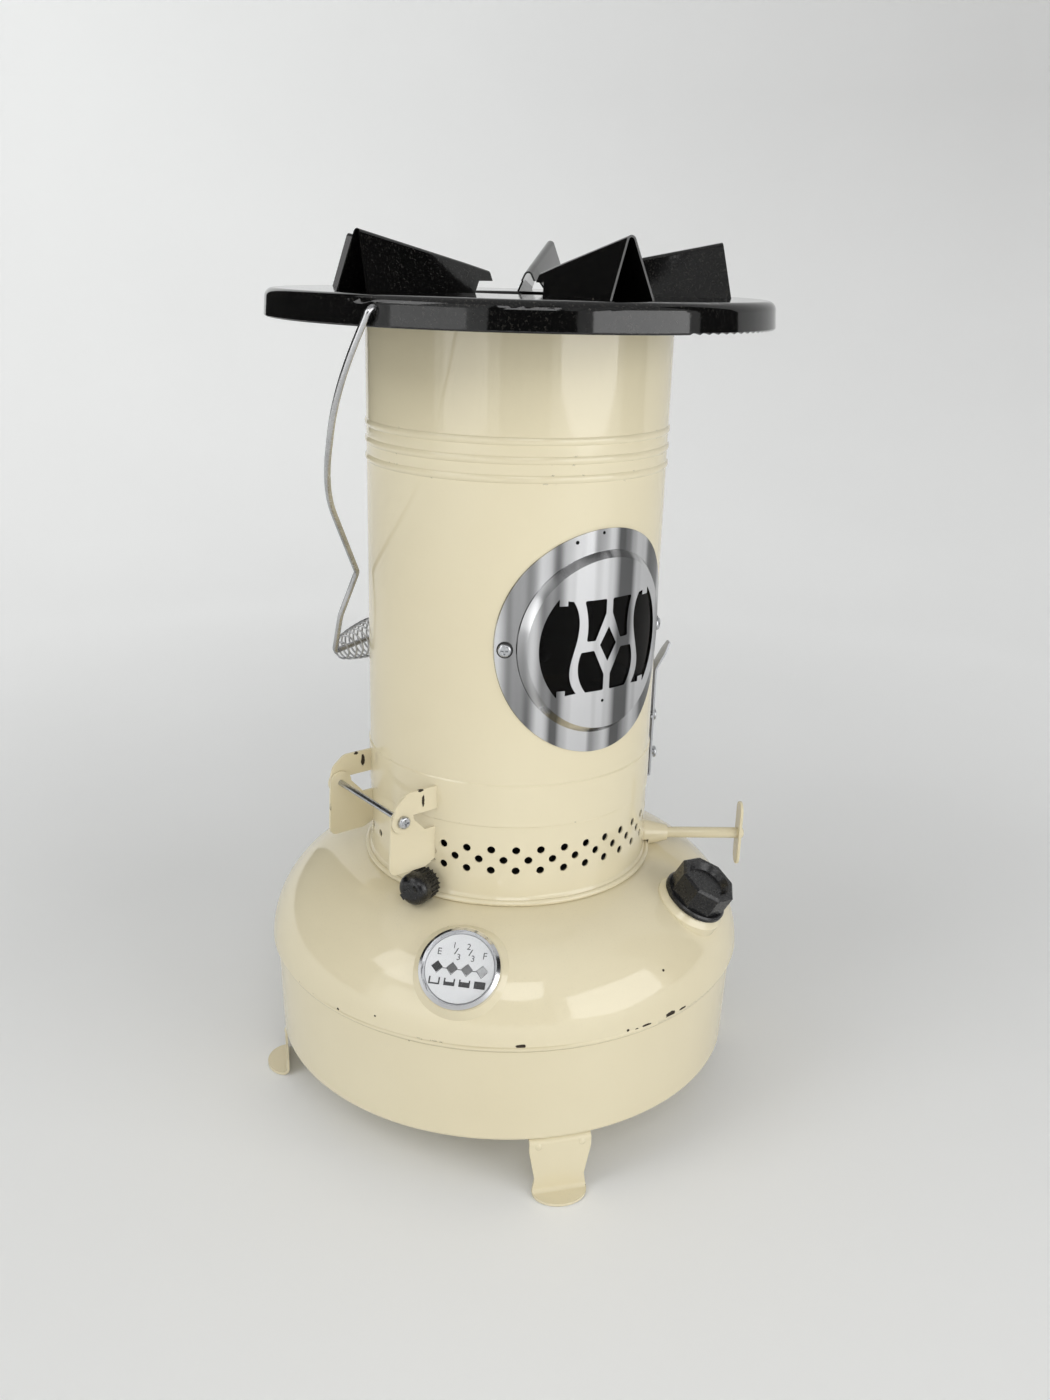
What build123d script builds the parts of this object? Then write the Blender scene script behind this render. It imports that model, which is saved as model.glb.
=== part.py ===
from build123d import *
import math
import os

# Round-wick paraffin heater: tank on four feet, perforated collar, hinged drum, hob plate.
# Millimetres, Z up. The origin is on the floor under the axis of the tank, the window faces -Y.
# An azimuth turns a piece that was drawn facing -Y about the upright axis.

# Stock and fits
sheet = 0.8
overrun = 6.0
seat_gap = 0.05
move_gap = 0.3
pin_gap = 0.06

# Tank
foot_height = 34.5
tank_base_radius = 134.8
tank_base_corner = 3.0
tank_seam_radius = 136.5
seam_height = 91.0
seam_bead = 2.0
seam_bead_reach = 137.7
seam_lap = 3.6
shoulder_start = 4.5
shoulder_centre_radius = 78.6
shoulder_centre_height = 92.3
shoulder_width = 60.5
shoulder_rise = 53.2
neck_radius = 83.0
tank_mouth_radius = 46.0

# Feet
foot_sheet = 1.5
foot_azimuths = {"front": -21.2, "left": -117.2, "right": 68.8, "rear": 158.8}
foot_leg_radius = 134.0
foot_flange_length = 28.0
foot_top_width = 34.0
foot_waist_width = 27.5
foot_waist_height = 9.5
foot_shoulder_height = 27.0
foot_paddle_width = 30.0
foot_paddle_reach = 12.0
foot_bend = 3.0
foot_dimple_radius = 3.0
foot_dimple_height = 0.7
foot_dimple_inset = 5.0
foot_dimple_drop = 4.5

# Burner
draught_tube_radius = 28.8
wick_thickness = 3.1
wick_sleeve_sheet = 0.6
burner_top = 200.0
wick_drop = 14.0
wick_foot_height = 62.0
outer_tube_foot_height = 72.0
burner_plate_radius = 60.0
burner_neck_height = 9.0
burner_deck_height = 162.5
burner_deck_hole = 3.0
burner_deck_hole_count = 24
burner_deck_hole_circle = 56.0
spreader_radius = 21.0
spreader_height = 33.0
spreader_cap_radius = 26.0
spreader_spigot_length = 12.0
spreader_slot_count = 12
spreader_slot_width = 2.4
spreader_slot_height = 14.0

# Collar below the drum
collar_radius = 80.5
collar_top = 190.7
collar_bead_radius = 1.6
collar_bead_centre_radius = 82.4
collar_flare_height = 3.0
collar_lip_height = 4.0
collar_lip_clearance = 0.9
collar_hole_radius = 2.15
collar_hole_count = 38
collar_row_heights = [177.3, 171.5, 165.4]
collar_hole_azimuth = -60.1
collar_bare_from = -120.0
collar_bare_to = -66.0

# Drum
drum_radius = 80.4
skirt_radius = 81.0
skirt_top = 214.0
plate_top = 457.0
plate_sheet = 1.2
drum_flange = 6.0
swage_heights = [373.5, 382.5, 391.5]
swage_width = 5.0
swage_reach = 0.8

# Hob plate
plate_radius = 130.0
plate_lip_height = 443.3
plate_lip_reach = 1.0
plate_corner = 4.5
plate_bead_radius = 1.0
plate_hole_radius = 37.0
plate_hole_lip = 6.0
plate_hole_corner = 2.5

# Pan supports
support_sheet = 1.0
support_azimuths = [-80.2, -8.2, 63.8, 135.8, 207.8]
support_outer_radius = 106.0
support_height = 27.5
support_half_width = 11.5
support_ridge_radius = 2.5
support_outer_slant = 3.5
support_step_radius = 40.0
support_step_height = 14.0
support_step_half_width = 8.4
support_nose_radius = 24.0
support_nose_height = 10.5
support_nose_half_width = 6.6
support_nose_underside = 5.6

# Window in the drum
window_height = 289.5
window_radius = 59.0
window_sheet = 0.8
window_step_radius = 48.0
window_step_width = 3.2
window_panel_reach = 3.6
window_hole_radius = 44.0
window_screw_offset = 53.0
window_screw_drop = 1.0
mica_sheet = 0.3
mica_radius = 44.5

# Openings of the window guard, as shares of its opening radius, right half, up is positive
guard_opening_radius = 38.8
guard_corner = 0.9
guard_bar_shares = [(0.549, 0.624), (0.454, 0.309), (0.503, 0.0), (0.564, -0.232), (0.469, -0.624)]
guard_tab_shares = [(0.628, 0.657), (0.628, 0.572), (0.744, 0.572), (0.744, 0.657)]
guard_upper_shares = [(0.389, 0.619), (0.052, 0.619), (0.052, 0.425), (0.206, 0.07), (0.34, 0.072), (0.33, 0.335)]
guard_lower_shares = [(0.412, -0.07), (0.222, -0.062), (0.052, -0.405), (0.052, -0.624), (0.332, -0.624),
                      (0.456, -0.271)]
guard_diamond_shares = [(0.0, 0.242), (0.134, 0.005), (0.0, -0.232), (-0.134, 0.005)]
guard_end_share = 0.657

# Inner chimney
chimney_radius = 45.0
chimney_foot = 196.5
chimney_top = 438.0
chimney_flare = 3.0
chimney_window_radius = 30.0
chimney_shelf_height = 236.0
chimney_shelf_rim = 8.0
chimney_shelf_hole = 4.0
chimney_shelf_hole_count = 16
baffle_height = 262.0
baffle_hole_radius = 22.0

# Drum hinge
hinge_azimuth = -87.2
hinge_distance = 95.0
hinge_height = 194.5
hinge_pin_radius = 1.6
hinge_pin_head_radius = 3.5
hinge_pin_head = 2.2
lug_sheet = 1.2
lug_offset = 30.5
lug_boss_radius = 6.6
lower_lug_bottom = 164.0
lower_lug_top = 186.0
lower_lug_reach = 102.6
lower_lug_corner = 4.0
upper_lug_bottom = 197.0
upper_lug_top = 210.0
bracket_strip = 6.5

# Drum latch
latch_azimuth = 61.8
latch_width = 10.0
latch_sheet = 1.0
latch_face_radius = 82.8
latch_foot = 187.0
latch_bend_height = 253.0
latch_top = 268.0
latch_tab_reach = 7.6
latch_pivot_height = 224.0
latch_rocker_radius = 0.9
latch_stud_height = 200.5
latch_screw_radius = 1.6
latch_head_radius = 3.4
latch_head = 1.3
latch_angle = 4.0
latch_boss_radius = 4.0
latch_spring_length = 15.0
latch_spring_sheet = 0.4

# Bail handle
bail_azimuth = -154.2
bail_wire_radius = 1.6
bail_pivot_height = 451.5
bail_hook_inner = 121.0
bail_hook_outer = 134.0
bail_bow_width = 136.5
bail_bow_drop = 40.0
bail_bow_radius = 110.0
bail_side_width = 116.0
bail_side_drop = 94.0
bail_kink_width = 54.5
bail_kink_drop = 156.0
bail_neck_width = 53.0
bail_neck_drop = 186.0
grip_drop = 214.0
grip_half_length = 43.0
grip_wire_radius = 0.55
grip_turns = 17
grip_end_radius = 4.9
grip_mid_radius = 11.0

# Fuel gauge
gauge_azimuth = -45.8
gauge_radius = 122.4
gauge_height = 129.0
gauge_tilt = 45.5
gauge_bezel_radius = 21.3
gauge_bezel_depth = 3.6
gauge_bezel_lip = 1.7
gauge_lens_sheet = 1.0
gauge_dial_sheet = 0.5
gauge_dial_depth = 2.4
gauge_well_depth = 5.0
gauge_boss_width = 29.0
gauge_boss_height = 25.0
gauge_boss_proud = 0.6
gauge_boss_depth = 6.0
gauge_diamond = 3.1
gauge_window_pitch = 7.9
gauge_stem_radius = 2.5
float_pivot_radius = 104.0
float_pivot_height = 92.0
float_arm_length = 50.0
float_arm_radius = 1.0
float_arm_offset = 5.0
float_rest_angle = -35.0
float_radius = 10.0
float_length = 16.0

# Filler
cap_azimuth = 28.0
cap_radius = 116.4
cap_height = 134.2
cap_tilt = 61.0
cap_flange_radius = 18.4
cap_flange = 2.6
cap_body_across = 31.5
cap_body_height = 13.5
cap_sides = 8
cap_dish_radius = 12.4
cap_dish_depth = 3.4
neck_bore_radius = 11.0
neck_wall = 1.2
neck_flange_radius = 20.0
neck_rise = 4.0
neck_length = 9.0
cap_gasket_sheet = 1.6

# Wick winder
winder_azimuth = 56.8
winder_height = 151.5
winder_shaft_radius = 3.25
winder_shaft_end = 138.0
winder_key_length = 40.0
winder_key_width = 12.0
winder_key_sheet = 1.8
winder_rivet_radius = 3.4
winder_rivet_rise = 2.2
gland_mouth_radius = 95.5
gland_wide_radius = 8.2
gland_narrow_radius = 4.6
pinion_radius = 6.0
pinion_teeth = 12
tooth_height = 1.1
pinion_width = 4.6
rack_back = 2.0
rack_clearance = 0.25
wick_travel = 25.0

# Collar lock screw
knob_azimuth = -65.8
knob_height = 154.5
knob_radius = 8.9
knob_length = 16.0
knob_seat_gap = 4.0
knob_ribs = 20
knob_rib_radius = 1.1
knob_rib_length = 8.0
knob_bar_width = 3.4
knob_bar_height = 1.6
knob_stud_radius = 2.5
knob_stud_length = 9.0

parts = {}


def turned(azimuth, shape):
    return shape.rotate(Axis.Z, azimuth)


def ring(points, radii, thickness, side=Side.LEFT):
    """Revolve a sheet that follows points of radius and height."""
    path = FilletPolyline(*points, radius=radii)
    return revolve(Plane.XZ * make_face(offset(path, amount=thickness, side=side)), Axis.Z)


def tube(inner, outer, low, high):
    face = Plane.XZ * Pos((inner + outer) / 2, (low + high) / 2) * Rectangle(outer - inner, high - low)
    return revolve(face, Axis.Z)


def side_plane(x, height=0):
    """A plane square to X whose own X is the distance in front of the axis and Y is the height."""
    return Plane(origin=(x, 0, height), x_dir=(0, -1, 0), z_dir=(-1, 0, 0))


def spoke(azimuth, height, near, far, radius):
    """A round bar that points outward from the axis."""
    plane = Plane(origin=(0, -near, height), x_dir=(1, 0, 0), z_dir=(0, -1, 0))
    return turned(azimuth, extrude(plane * Circle(radius), amount=far - near))


def outward_plane(azimuth, radius, height, elevation):
    """A plane on the tank whose normal points outward and up by the elevation."""
    rise = math.radians(elevation)
    turn = math.radians(azimuth)
    out = Vector(math.sin(turn), -math.cos(turn), 0)
    across = Vector(math.cos(turn), math.sin(turn), 0)
    normal = out * math.cos(rise) + Vector(0, 0, 1) * math.sin(rise)
    return Plane(origin=out * radius + Vector(0, 0, height), x_dir=across, z_dir=normal)


def shoulder_point(width, rise, height):
    """The point of the shoulder's ellipse at a height, as radius and angle."""
    angle = math.asin((height - shoulder_centre_height) / rise)
    return shoulder_centre_radius + width * math.cos(angle), math.degrees(angle)


def shoulder_arc(width, rise, start, end):
    centre = (shoulder_centre_radius, shoulder_centre_height)
    return EllipticalCenterArc(centre, width, rise, start_angle=start, arc_size=end - start)


def shoulder_height(width, rise, radius):
    angle = math.acos((radius - shoulder_centre_radius) / width)
    return shoulder_centre_height + rise * math.sin(angle), math.degrees(angle)


tank_top, neck_angle = shoulder_height(shoulder_width, shoulder_rise, neck_radius)
tank_ceiling, neck_inner_angle = shoulder_height(shoulder_width - sheet, shoulder_rise - sheet, neck_radius)
wick_inner = draught_tube_radius + move_gap
wick_outer = wick_inner + wick_thickness
sleeve_outer = wick_outer + seat_gap + wick_sleeve_sheet
outer_tube_bore = sleeve_outer + move_gap
outer_tube_radius = outer_tube_bore + sheet
lip_radius = skirt_radius - sheet - collar_lip_clearance
drum_foot = collar_top + move_gap
drum_top = plate_top - plate_sheet
seam_lip_radius = seam_bead_reach - seam_bead - sheet - seat_gap
gauge_plane = outward_plane(gauge_azimuth, gauge_radius, gauge_height, gauge_tilt)
cap_plane = outward_plane(cap_azimuth, cap_radius, cap_height, cap_tilt)
pinion_near = outer_tube_radius + move_gap
pinion_far = pinion_near + pinion_width
tooth_pitch = 2 * math.pi * pinion_radius / pinion_teeth
rack_face = pinion_radius + rack_clearance


# Tank
def tank_lower_shell():
    points = [(draught_tube_radius + seat_gap, foot_height), (tank_base_radius, foot_height),
              (tank_seam_radius, seam_height - seat_gap), (seam_lip_radius, seam_height),
              (seam_lip_radius, seam_height + seam_lap)]
    return ring(points, [tank_base_corner, 0, 0], sheet)


def tank_upper_shell():
    bead_centre = (seam_bead_reach - seam_bead, seam_height + seam_bead)
    diagonal = seam_bead * math.sqrt(0.5)
    bead_foot = (bead_centre[0], seam_height)
    bead_top = (bead_centre[0] + diagonal, bead_centre[1] + diagonal)
    low, low_angle = shoulder_point(shoulder_width, shoulder_rise, seam_height + shoulder_start)
    inner_low = seam_height + shoulder_start + sheet
    inner, inner_angle = shoulder_point(shoulder_width - sheet, shoulder_rise - sheet, inner_low)
    inside = seam_lip_radius + seat_gap
    outline = [
        ThreePointArc(bead_foot, (seam_bead_reach, bead_centre[1]), bead_top),
        Line(bead_top, (low, seam_height + shoulder_start)),
        shoulder_arc(shoulder_width, shoulder_rise, low_angle, neck_angle),
        Polyline((neck_radius, tank_top), (tank_mouth_radius, tank_top), (tank_mouth_radius, tank_ceiling),
                 (neck_radius, tank_ceiling)),
        shoulder_arc(shoulder_width - sheet, shoulder_rise - sheet, inner_angle, neck_inner_angle),
        Polyline((inner, inner_low), (inside, seam_height + shoulder_start - sheet), (inside, seam_height),
                 bead_foot),
    ]
    shell = revolve(Plane.XZ * make_face(Curve() + outline), Axis.Z)
    inside_of_shell = revolve(Plane.XZ * tank_room(), Axis.Z)
    boss_plane = gauge_plane.offset(gauge_boss_proud - gauge_boss_depth)
    boss_foot = boss_plane * Ellipse(gauge_boss_width, gauge_boss_height)
    boss_face = boss_plane.offset(gauge_boss_depth) * Ellipse(gauge_bezel_radius + sheet, gauge_bezel_radius + sheet)
    boss = loft([boss_foot, boss_face]) - inside_of_shell
    well = gauge_plane.offset(-gauge_well_depth - overrun)
    bore = extrude(well * Circle(gauge_well_radius() + seat_gap), amount=gauge_well_depth + 2 * overrun)
    neck = extrude(cap_plane.offset(-neck_length - overrun) * Circle(neck_bore_radius + neck_wall + seat_gap),
                   amount=neck_length + 2 * overrun)
    return (shell + boss) - bore - neck


def tank_room():
    """The hollow inside the shoulder, as a face of radius and height."""
    width = shoulder_width - sheet
    rise = shoulder_rise - sheet
    outline = [
        shoulder_arc(width, rise, 0, neck_inner_angle),
        Polyline((neck_radius, tank_ceiling), (0, tank_ceiling), (0, shoulder_centre_height),
                 (shoulder_centre_radius + width, shoulder_centre_height)),
    ]
    return make_face(Curve() + outline)


def gauge_well_radius():
    return gauge_bezel_radius - gauge_bezel_lip - sheet


# Feet
def foot():
    flange = foot_leg_radius - foot_flange_length
    paddle = foot_leg_radius + foot_paddle_reach
    path = FilletPolyline((flange, foot_height), (foot_leg_radius, foot_height), (foot_leg_radius, foot_sheet),
                          (paddle, foot_sheet), radius=[foot_bend, foot_bend - foot_sheet / 2])
    side = make_face(offset(path, amount=foot_sheet, side=Side.RIGHT))
    strip = extrude(side_plane(0) * side, amount=foot_top_width / 2, both=True)
    top = foot_top_width / 2
    waist = foot_waist_width / 2
    broad = foot_paddle_width / 2
    outline = Polyline((top, foot_height + overrun), (top, foot_shoulder_height), (waist, foot_waist_height),
                       (broad, foot_sheet), (broad, -overrun), (-broad, -overrun), (-broad, foot_sheet),
                       (-waist, foot_waist_height), (-top, foot_shoulder_height), (-top, foot_height + overrun),
                       close=True)
    front = extrude(Plane.XZ * make_face(outline), amount=paddle + overrun)
    plan = Pos(0, -foot_leg_radius) * Ellipse(broad, foot_paddle_reach)
    plan += Pos(0, -foot_leg_radius / 2) * Rectangle(foot_top_width, foot_leg_radius)
    leg = strip & front & extrude(plan, amount=foot_height)
    dimple_x = foot_top_width / 2 - foot_dimple_inset
    dimple_y = foot_leg_radius - foot_dimple_radius + foot_dimple_height
    dimple_z = foot_height - foot_dimple_drop
    for side_sign in (1, -1):
        ball = Pos(side_sign * dimple_x, -dimple_y, dimple_z) * Sphere(foot_dimple_radius)
        leg += ball & Pos(0, -foot_leg_radius, dimple_z) * Box(foot_top_width, 2 * foot_sheet, foot_dimple_radius * 2)
    return leg


# Burner
def draught_tube():
    bore = draught_tube_radius - sheet
    return tube(bore, draught_tube_radius, foot_height, burner_top)


def outer_wick_tube():
    body = tube(outer_tube_bore, outer_tube_radius, outer_tube_foot_height, burner_top)
    slot_low = winder_height - wick_travel - 2 * tooth_pitch
    slot_high = winder_height + wick_travel + 2 * tooth_pitch
    slot_width = rack_back + 2 * tooth_height + 2 * move_gap
    slot_centre = rack_face + slot_width / 2 - tooth_height - move_gap
    slot = Pos(slot_centre, -outer_tube_radius, (slot_low + slot_high) / 2)
    slot = slot * Box(slot_width, 2 * overrun, slot_high - slot_low)
    return body - turned(winder_azimuth, slot) - spindle_bore(winder_pin_radius())


def winder_pin_radius():
    return winder_shaft_radius / 2


def spindle_bore(radius):
    return spoke(winder_azimuth, winder_height, 0, plate_radius, radius + pin_gap)


def burner_plate():
    foot = tank_top
    points = [(burner_plate_radius, foot), (outer_tube_radius + seat_gap, foot),
              (outer_tube_radius + seat_gap, foot + burner_neck_height)]
    body = ring(points, [sheet * 2], sheet, side=Side.RIGHT)
    return body - rack_gate(winder_height)


def rack_gate(height):
    """The cut that lets the pinion and the rising rack through a plate."""
    gate_width = 2 * (rack_face + rack_back + tooth_height + move_gap)
    gate = Pos(0, -(pinion_near + pinion_far) / 2, height)
    gate = gate * Box(gate_width, pinion_width + 2 * overrun, 2 * (pinion_radius + tooth_height + overrun))
    return turned(winder_azimuth, gate)


def burner_deck():
    inner = outer_tube_radius + seat_gap
    outer = collar_radius - sheet - seat_gap
    rim = sheet * 3
    points = [(inner, burner_deck_height - rim), (inner, burner_deck_height), (outer, burner_deck_height),
              (outer, burner_deck_height - rim)]
    deck = ring(points, [sheet * 1.5, sheet * 1.5], sheet, side=Side.RIGHT)
    hole = Pos(0, -burner_deck_hole_circle, burner_deck_height) * Cylinder(burner_deck_hole, 2 * overrun)
    step = 360 / burner_deck_hole_count
    deck = deck - [turned(step * i, hole) for i in range(burner_deck_hole_count)]
    return deck - rack_gate(burner_deck_height)


def flame_spreader():
    spigot = draught_tube_radius - sheet - seat_gap
    low = burner_top - spreader_spigot_length
    top = burner_top + spreader_height
    points = [(spigot, low), (spigot, burner_top - sheet), (spreader_radius, burner_top), (spreader_radius, top)]
    body = ring(points, [sheet * 2, sheet * 2], sheet)
    cap = tube(0, spreader_cap_radius, top, top + sheet * 2)
    slot_height = burner_top + spreader_height / 2
    slot = Pos(0, -spreader_radius, slot_height) * Box(spreader_slot_width, 2 * overrun, spreader_slot_height)
    step = 360 / spreader_slot_count
    return body - [turned(step * i, slot) for i in range(spreader_slot_count)] + cap


def wick():
    return tube(wick_inner, wick_outer, wick_foot_height, burner_top - wick_drop)


def wick_sleeve():
    teeth_below = math.ceil(wick_travel / tooth_pitch) + 1
    teeth_above = 1
    bottom = -(teeth_below + 0.5) * tooth_pitch
    top = (teeth_above + 0.5) * tooth_pitch
    body = tube(wick_outer + seat_gap, sleeve_outer, winder_height + bottom, winder_height + top)
    tip = rack_face - tooth_height
    root = rack_face + tooth_height
    teeth = [(root + rack_back, top), (root + rack_back, bottom), (root, bottom)]
    for i in range(-teeth_below, teeth_above + 1):
        for share, x in ((-0.28, root), (-0.12, tip), (0.12, tip), (0.28, root)):
            teeth.append((x, (i + share) * tooth_pitch))
    teeth.append((root, top))
    profile = make_face(Polyline(*teeth, close=True))
    near = (wick_outer + sleeve_outer) / 2
    start = near * math.cos(math.asin(root / near))
    plane = Plane(origin=(0, -start, winder_height), x_dir=(1, 0, 0), z_dir=(0, -1, 0))
    rack = extrude(plane * profile, amount=pinion_far - start)
    return turned(winder_azimuth, body + (rack - tube(0, wick_outer + seat_gap, 0, burner_top)))


# Collar
def gallery_ring():
    flare_foot = tank_top + collar_bead_radius
    top = collar_top
    points = [(collar_bead_centre_radius, flare_foot), (collar_radius, flare_foot + collar_flare_height),
              (collar_radius, top), (lip_radius, top + sheet), (lip_radius, top + collar_lip_height)]
    wall = ring(points, [sheet * 2, sheet, 0], sheet)
    bead = revolve(Plane.XZ * Pos(collar_bead_centre_radius, flare_foot) * Circle(collar_bead_radius), Axis.Z)
    body = wall + bead
    step = 360 / collar_hole_count
    holes = []
    for row, height in enumerate(collar_row_heights):
        for i in range(collar_hole_count):
            azimuth = collar_hole_azimuth + step * (i + 0.5 * (row % 2))
            bare = collar_bare_from < (azimuth + 180) % 360 - 180 < collar_bare_to
            if not bare or row == 2:
                holes.append(spoke(azimuth, height, collar_radius - overrun, collar_radius + overrun,
                                   collar_hole_radius))
    root = lug_root(collar_radius, lug_offset) - overrun
    slits = [lug_blank(side, lower_lug_outline(root), lug_offset, seat_gap) for side in (1, -1)]
    body = body - holes - [turned(hinge_azimuth, slit) for slit in slits]
    body = body - spoke(winder_azimuth, winder_height, collar_radius - overrun, collar_radius + overrun,
                        gland_narrow_radius + seat_gap)
    return body - spoke(knob_azimuth, knob_height, collar_radius - overrun, collar_radius + overrun,
                        knob_stud_radius + pin_gap)


def winder_gland():
    low = collar_radius - 3 * sheet
    seat = math.sqrt((collar_radius + seat_gap) ** 2 - gland_wide_radius ** 2)
    outline = Polyline((0, seat), (gland_wide_radius, seat), (gland_wide_radius, collar_radius + sheet),
                       (gland_narrow_radius, gland_mouth_radius), (0, gland_mouth_radius), close=True)
    cone = revolve(make_face(outline), Axis.Y)
    spigot = revolve(make_face(Polyline((0, low), (gland_narrow_radius, low), (gland_narrow_radius, collar_radius),
                                        (0, collar_radius), close=True)), Axis.Y)
    cone = cone.rotate(Axis.Z, 180)
    spigot = spigot.rotate(Axis.Z, 180)
    bead_reach = collar_bead_centre_radius + collar_bead_radius + seat_gap
    bead_top = tank_top + 2 * collar_bead_radius + seat_gap
    cone = Pos(0, 0, winder_height) * cone - tube(0, collar_radius + seat_gap, 0, plate_top)
    cone -= tube(0, bead_reach, 0, bead_top + collar_flare_height - collar_bead_radius)
    cone -= revolve(Plane.XZ * tank_outside(), Axis.Z)
    body = turned(winder_azimuth, cone + Pos(0, 0, winder_height) * spigot)
    return body - spindle_bore(winder_shaft_radius)


# Winder
def winder_spindle():
    pin = spoke(winder_azimuth, winder_height, outer_tube_bore + seat_gap, pinion_far, winder_pin_radius())
    shaft = spoke(winder_azimuth, winder_height, pinion_far, winder_shaft_end, winder_shaft_radius)
    return pin + shaft


def winder_pinion():
    points = []
    for i in range(pinion_teeth):
        for share, radius in ((-0.3, -1), (-0.12, 1), (0.12, 1), (0.3, -1)):
            angle = 2 * math.pi * (i + 0.5 + share) / pinion_teeth
            reach = pinion_radius + radius * tooth_height
            points.append((reach * math.cos(angle), reach * math.sin(angle)))
    plane = Plane(origin=(0, -pinion_near, winder_height), x_dir=(1, 0, 0), z_dir=(0, -1, 0))
    wheel = extrude(plane * make_face(Polyline(*points, close=True)), amount=pinion_width)
    bore = spoke(0, winder_height, 0, pinion_far + overrun, winder_pin_radius() + seat_gap)
    return turned(winder_azimuth, wheel - bore)


def winder_key():
    plane = Plane(origin=(0, -winder_shaft_end, winder_height), x_dir=(0, 0, 1), z_dir=(0, -1, 0))
    plate = extrude(plane * SlotOverall(winder_key_length, winder_key_width), amount=winder_key_sheet)
    return turned(winder_azimuth, fillet(plate.edges(), winder_key_sheet / 4))


def winder_rivet():
    seat = winder_shaft_end + winder_key_sheet
    plane = Plane(origin=(0, -seat, winder_height), x_dir=(1, 0, 0), z_dir=(0, -1, 0))
    head = extrude(Circle(winder_rivet_radius), amount=winder_rivet_rise)
    head = fillet(head.edges().sort_by(Axis.Z)[-1], winder_rivet_rise * 0.9)
    return turned(winder_azimuth, plane.location * head)


# Hinge
def lug_blank(side, outline, offset_x, clearance):
    """A flat lug that stands square to the pin, from an outline of distance and height."""
    far = offset_x + lug_sheet + clearance
    blank = extrude(side_plane(far) * outline, amount=lug_sheet + 2 * clearance)
    return blank if side > 0 else blank.mirror(Plane.YZ)


def lower_lug_outline(root):
    corner = lower_lug_corner
    reach = lower_lug_reach
    plate = Polyline((root, lower_lug_bottom + corner), (collar_radius, lower_lug_bottom), (reach, lower_lug_bottom),
                     (hinge_distance + lug_boss_radius, hinge_height),
                     (hinge_distance - lug_boss_radius, hinge_height), (collar_radius, lower_lug_top),
                     (root, lower_lug_top), close=True)
    face = make_face(plate)
    corners = face.vertices().sort_by(Axis.Y)[:2]
    face = fillet(corners.sort_by(Axis.X)[-1], corner)
    return face + Pos(hinge_distance, hinge_height) * Circle(lug_boss_radius)


def upper_lug_outline(root):
    boss = lug_boss_radius
    wide = upper_lug_top - hinge_height
    arm = Polyline((root, upper_lug_bottom), (hinge_distance, upper_lug_bottom), (hinge_distance + boss, hinge_height),
                   (hinge_distance + boss * 0.6, hinge_height + wide * 0.62),
                   (hinge_distance - boss * 0.5, upper_lug_top), (root, upper_lug_top), close=True)
    face = make_face(arm)
    tops = face.vertices().sort_by(Axis.Y)[-3:].sort_by(Axis.X)[1:]
    face = fillet(tops, boss * 0.9)
    return face + Pos(hinge_distance, hinge_height) * Circle(boss)


def lug_root(wall, offset_x):
    """How far in front of the axis a lug starts, just inside its wall."""
    return math.sqrt(wall ** 2 - (offset_x + lug_sheet) ** 2) - lug_sheet


def strip_behind(radius, low, high, offset_x):
    """The strip that joins two lugs behind the wall."""
    band = tube(radius - lug_sheet, radius, low, high)
    reach = offset_x + lug_sheet
    return band & Pos(0, -radius / 2, (low + high) / 2) * Box(2 * reach, radius, high - low)


def hinge_bracket_lower():
    wall = collar_radius - sheet - seat_gap
    high = lower_lug_top
    body = strip_behind(wall, high - bracket_strip, high, lug_offset)
    root = lug_root(wall, lug_offset)
    for side in (1, -1):
        body += lug_blank(side, lower_lug_outline(root), lug_offset, 0)
    bore = Pos(0, -hinge_distance, hinge_height) * Rot(0, 90, 0)
    return turned(hinge_azimuth, body - bore * Cylinder(hinge_pin_radius + seat_gap, plate_radius))


def upper_lug_offset():
    return lug_offset + lug_sheet + move_gap


def hinge_bracket_upper():
    wall = skirt_radius - sheet - seat_gap
    low = upper_lug_bottom + lug_sheet
    body = strip_behind(wall, low, low + bracket_strip, upper_lug_offset())
    root = lug_root(wall, upper_lug_offset())
    for side in (1, -1):
        body += lug_blank(side, upper_lug_outline(root), upper_lug_offset(), 0)
    bore = Pos(0, -hinge_distance, hinge_height) * Rot(0, 90, 0)
    return turned(hinge_azimuth, body - bore * Cylinder(hinge_pin_radius + pin_gap, plate_radius))


def hinge_pin():
    half = upper_lug_offset() + lug_sheet + move_gap
    bar = Pos(0, -hinge_distance, hinge_height) * Rot(0, 90, 0) * Cylinder(hinge_pin_radius, 2 * half)
    return turned(hinge_azimuth, bar)


def hinge_pin_screws():
    half = upper_lug_offset() + lug_sheet + move_gap
    heads = []
    for side in (1, -1):
        head = pan_head(hinge_pin_head_radius, hinge_pin_head)
        placed = Pos(side * half, -hinge_distance, hinge_height) * Rot(0, side * 90, 0) * head
        heads.append(turned(hinge_azimuth, placed))
    return Compound(children=heads)


def pan_head(radius, height):
    """A cross-recessed pan head that stands on the XY plane."""
    head = extrude(Circle(radius), amount=height)
    head = fillet(head.edges().sort_by(Axis.Z)[-1], height * 0.6)
    cut = Box(radius * 1.1, radius * 0.24, height * 0.9) + Box(radius * 0.24, radius * 1.1, height * 0.9)
    return head - Pos(0, 0, height) * cut


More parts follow.
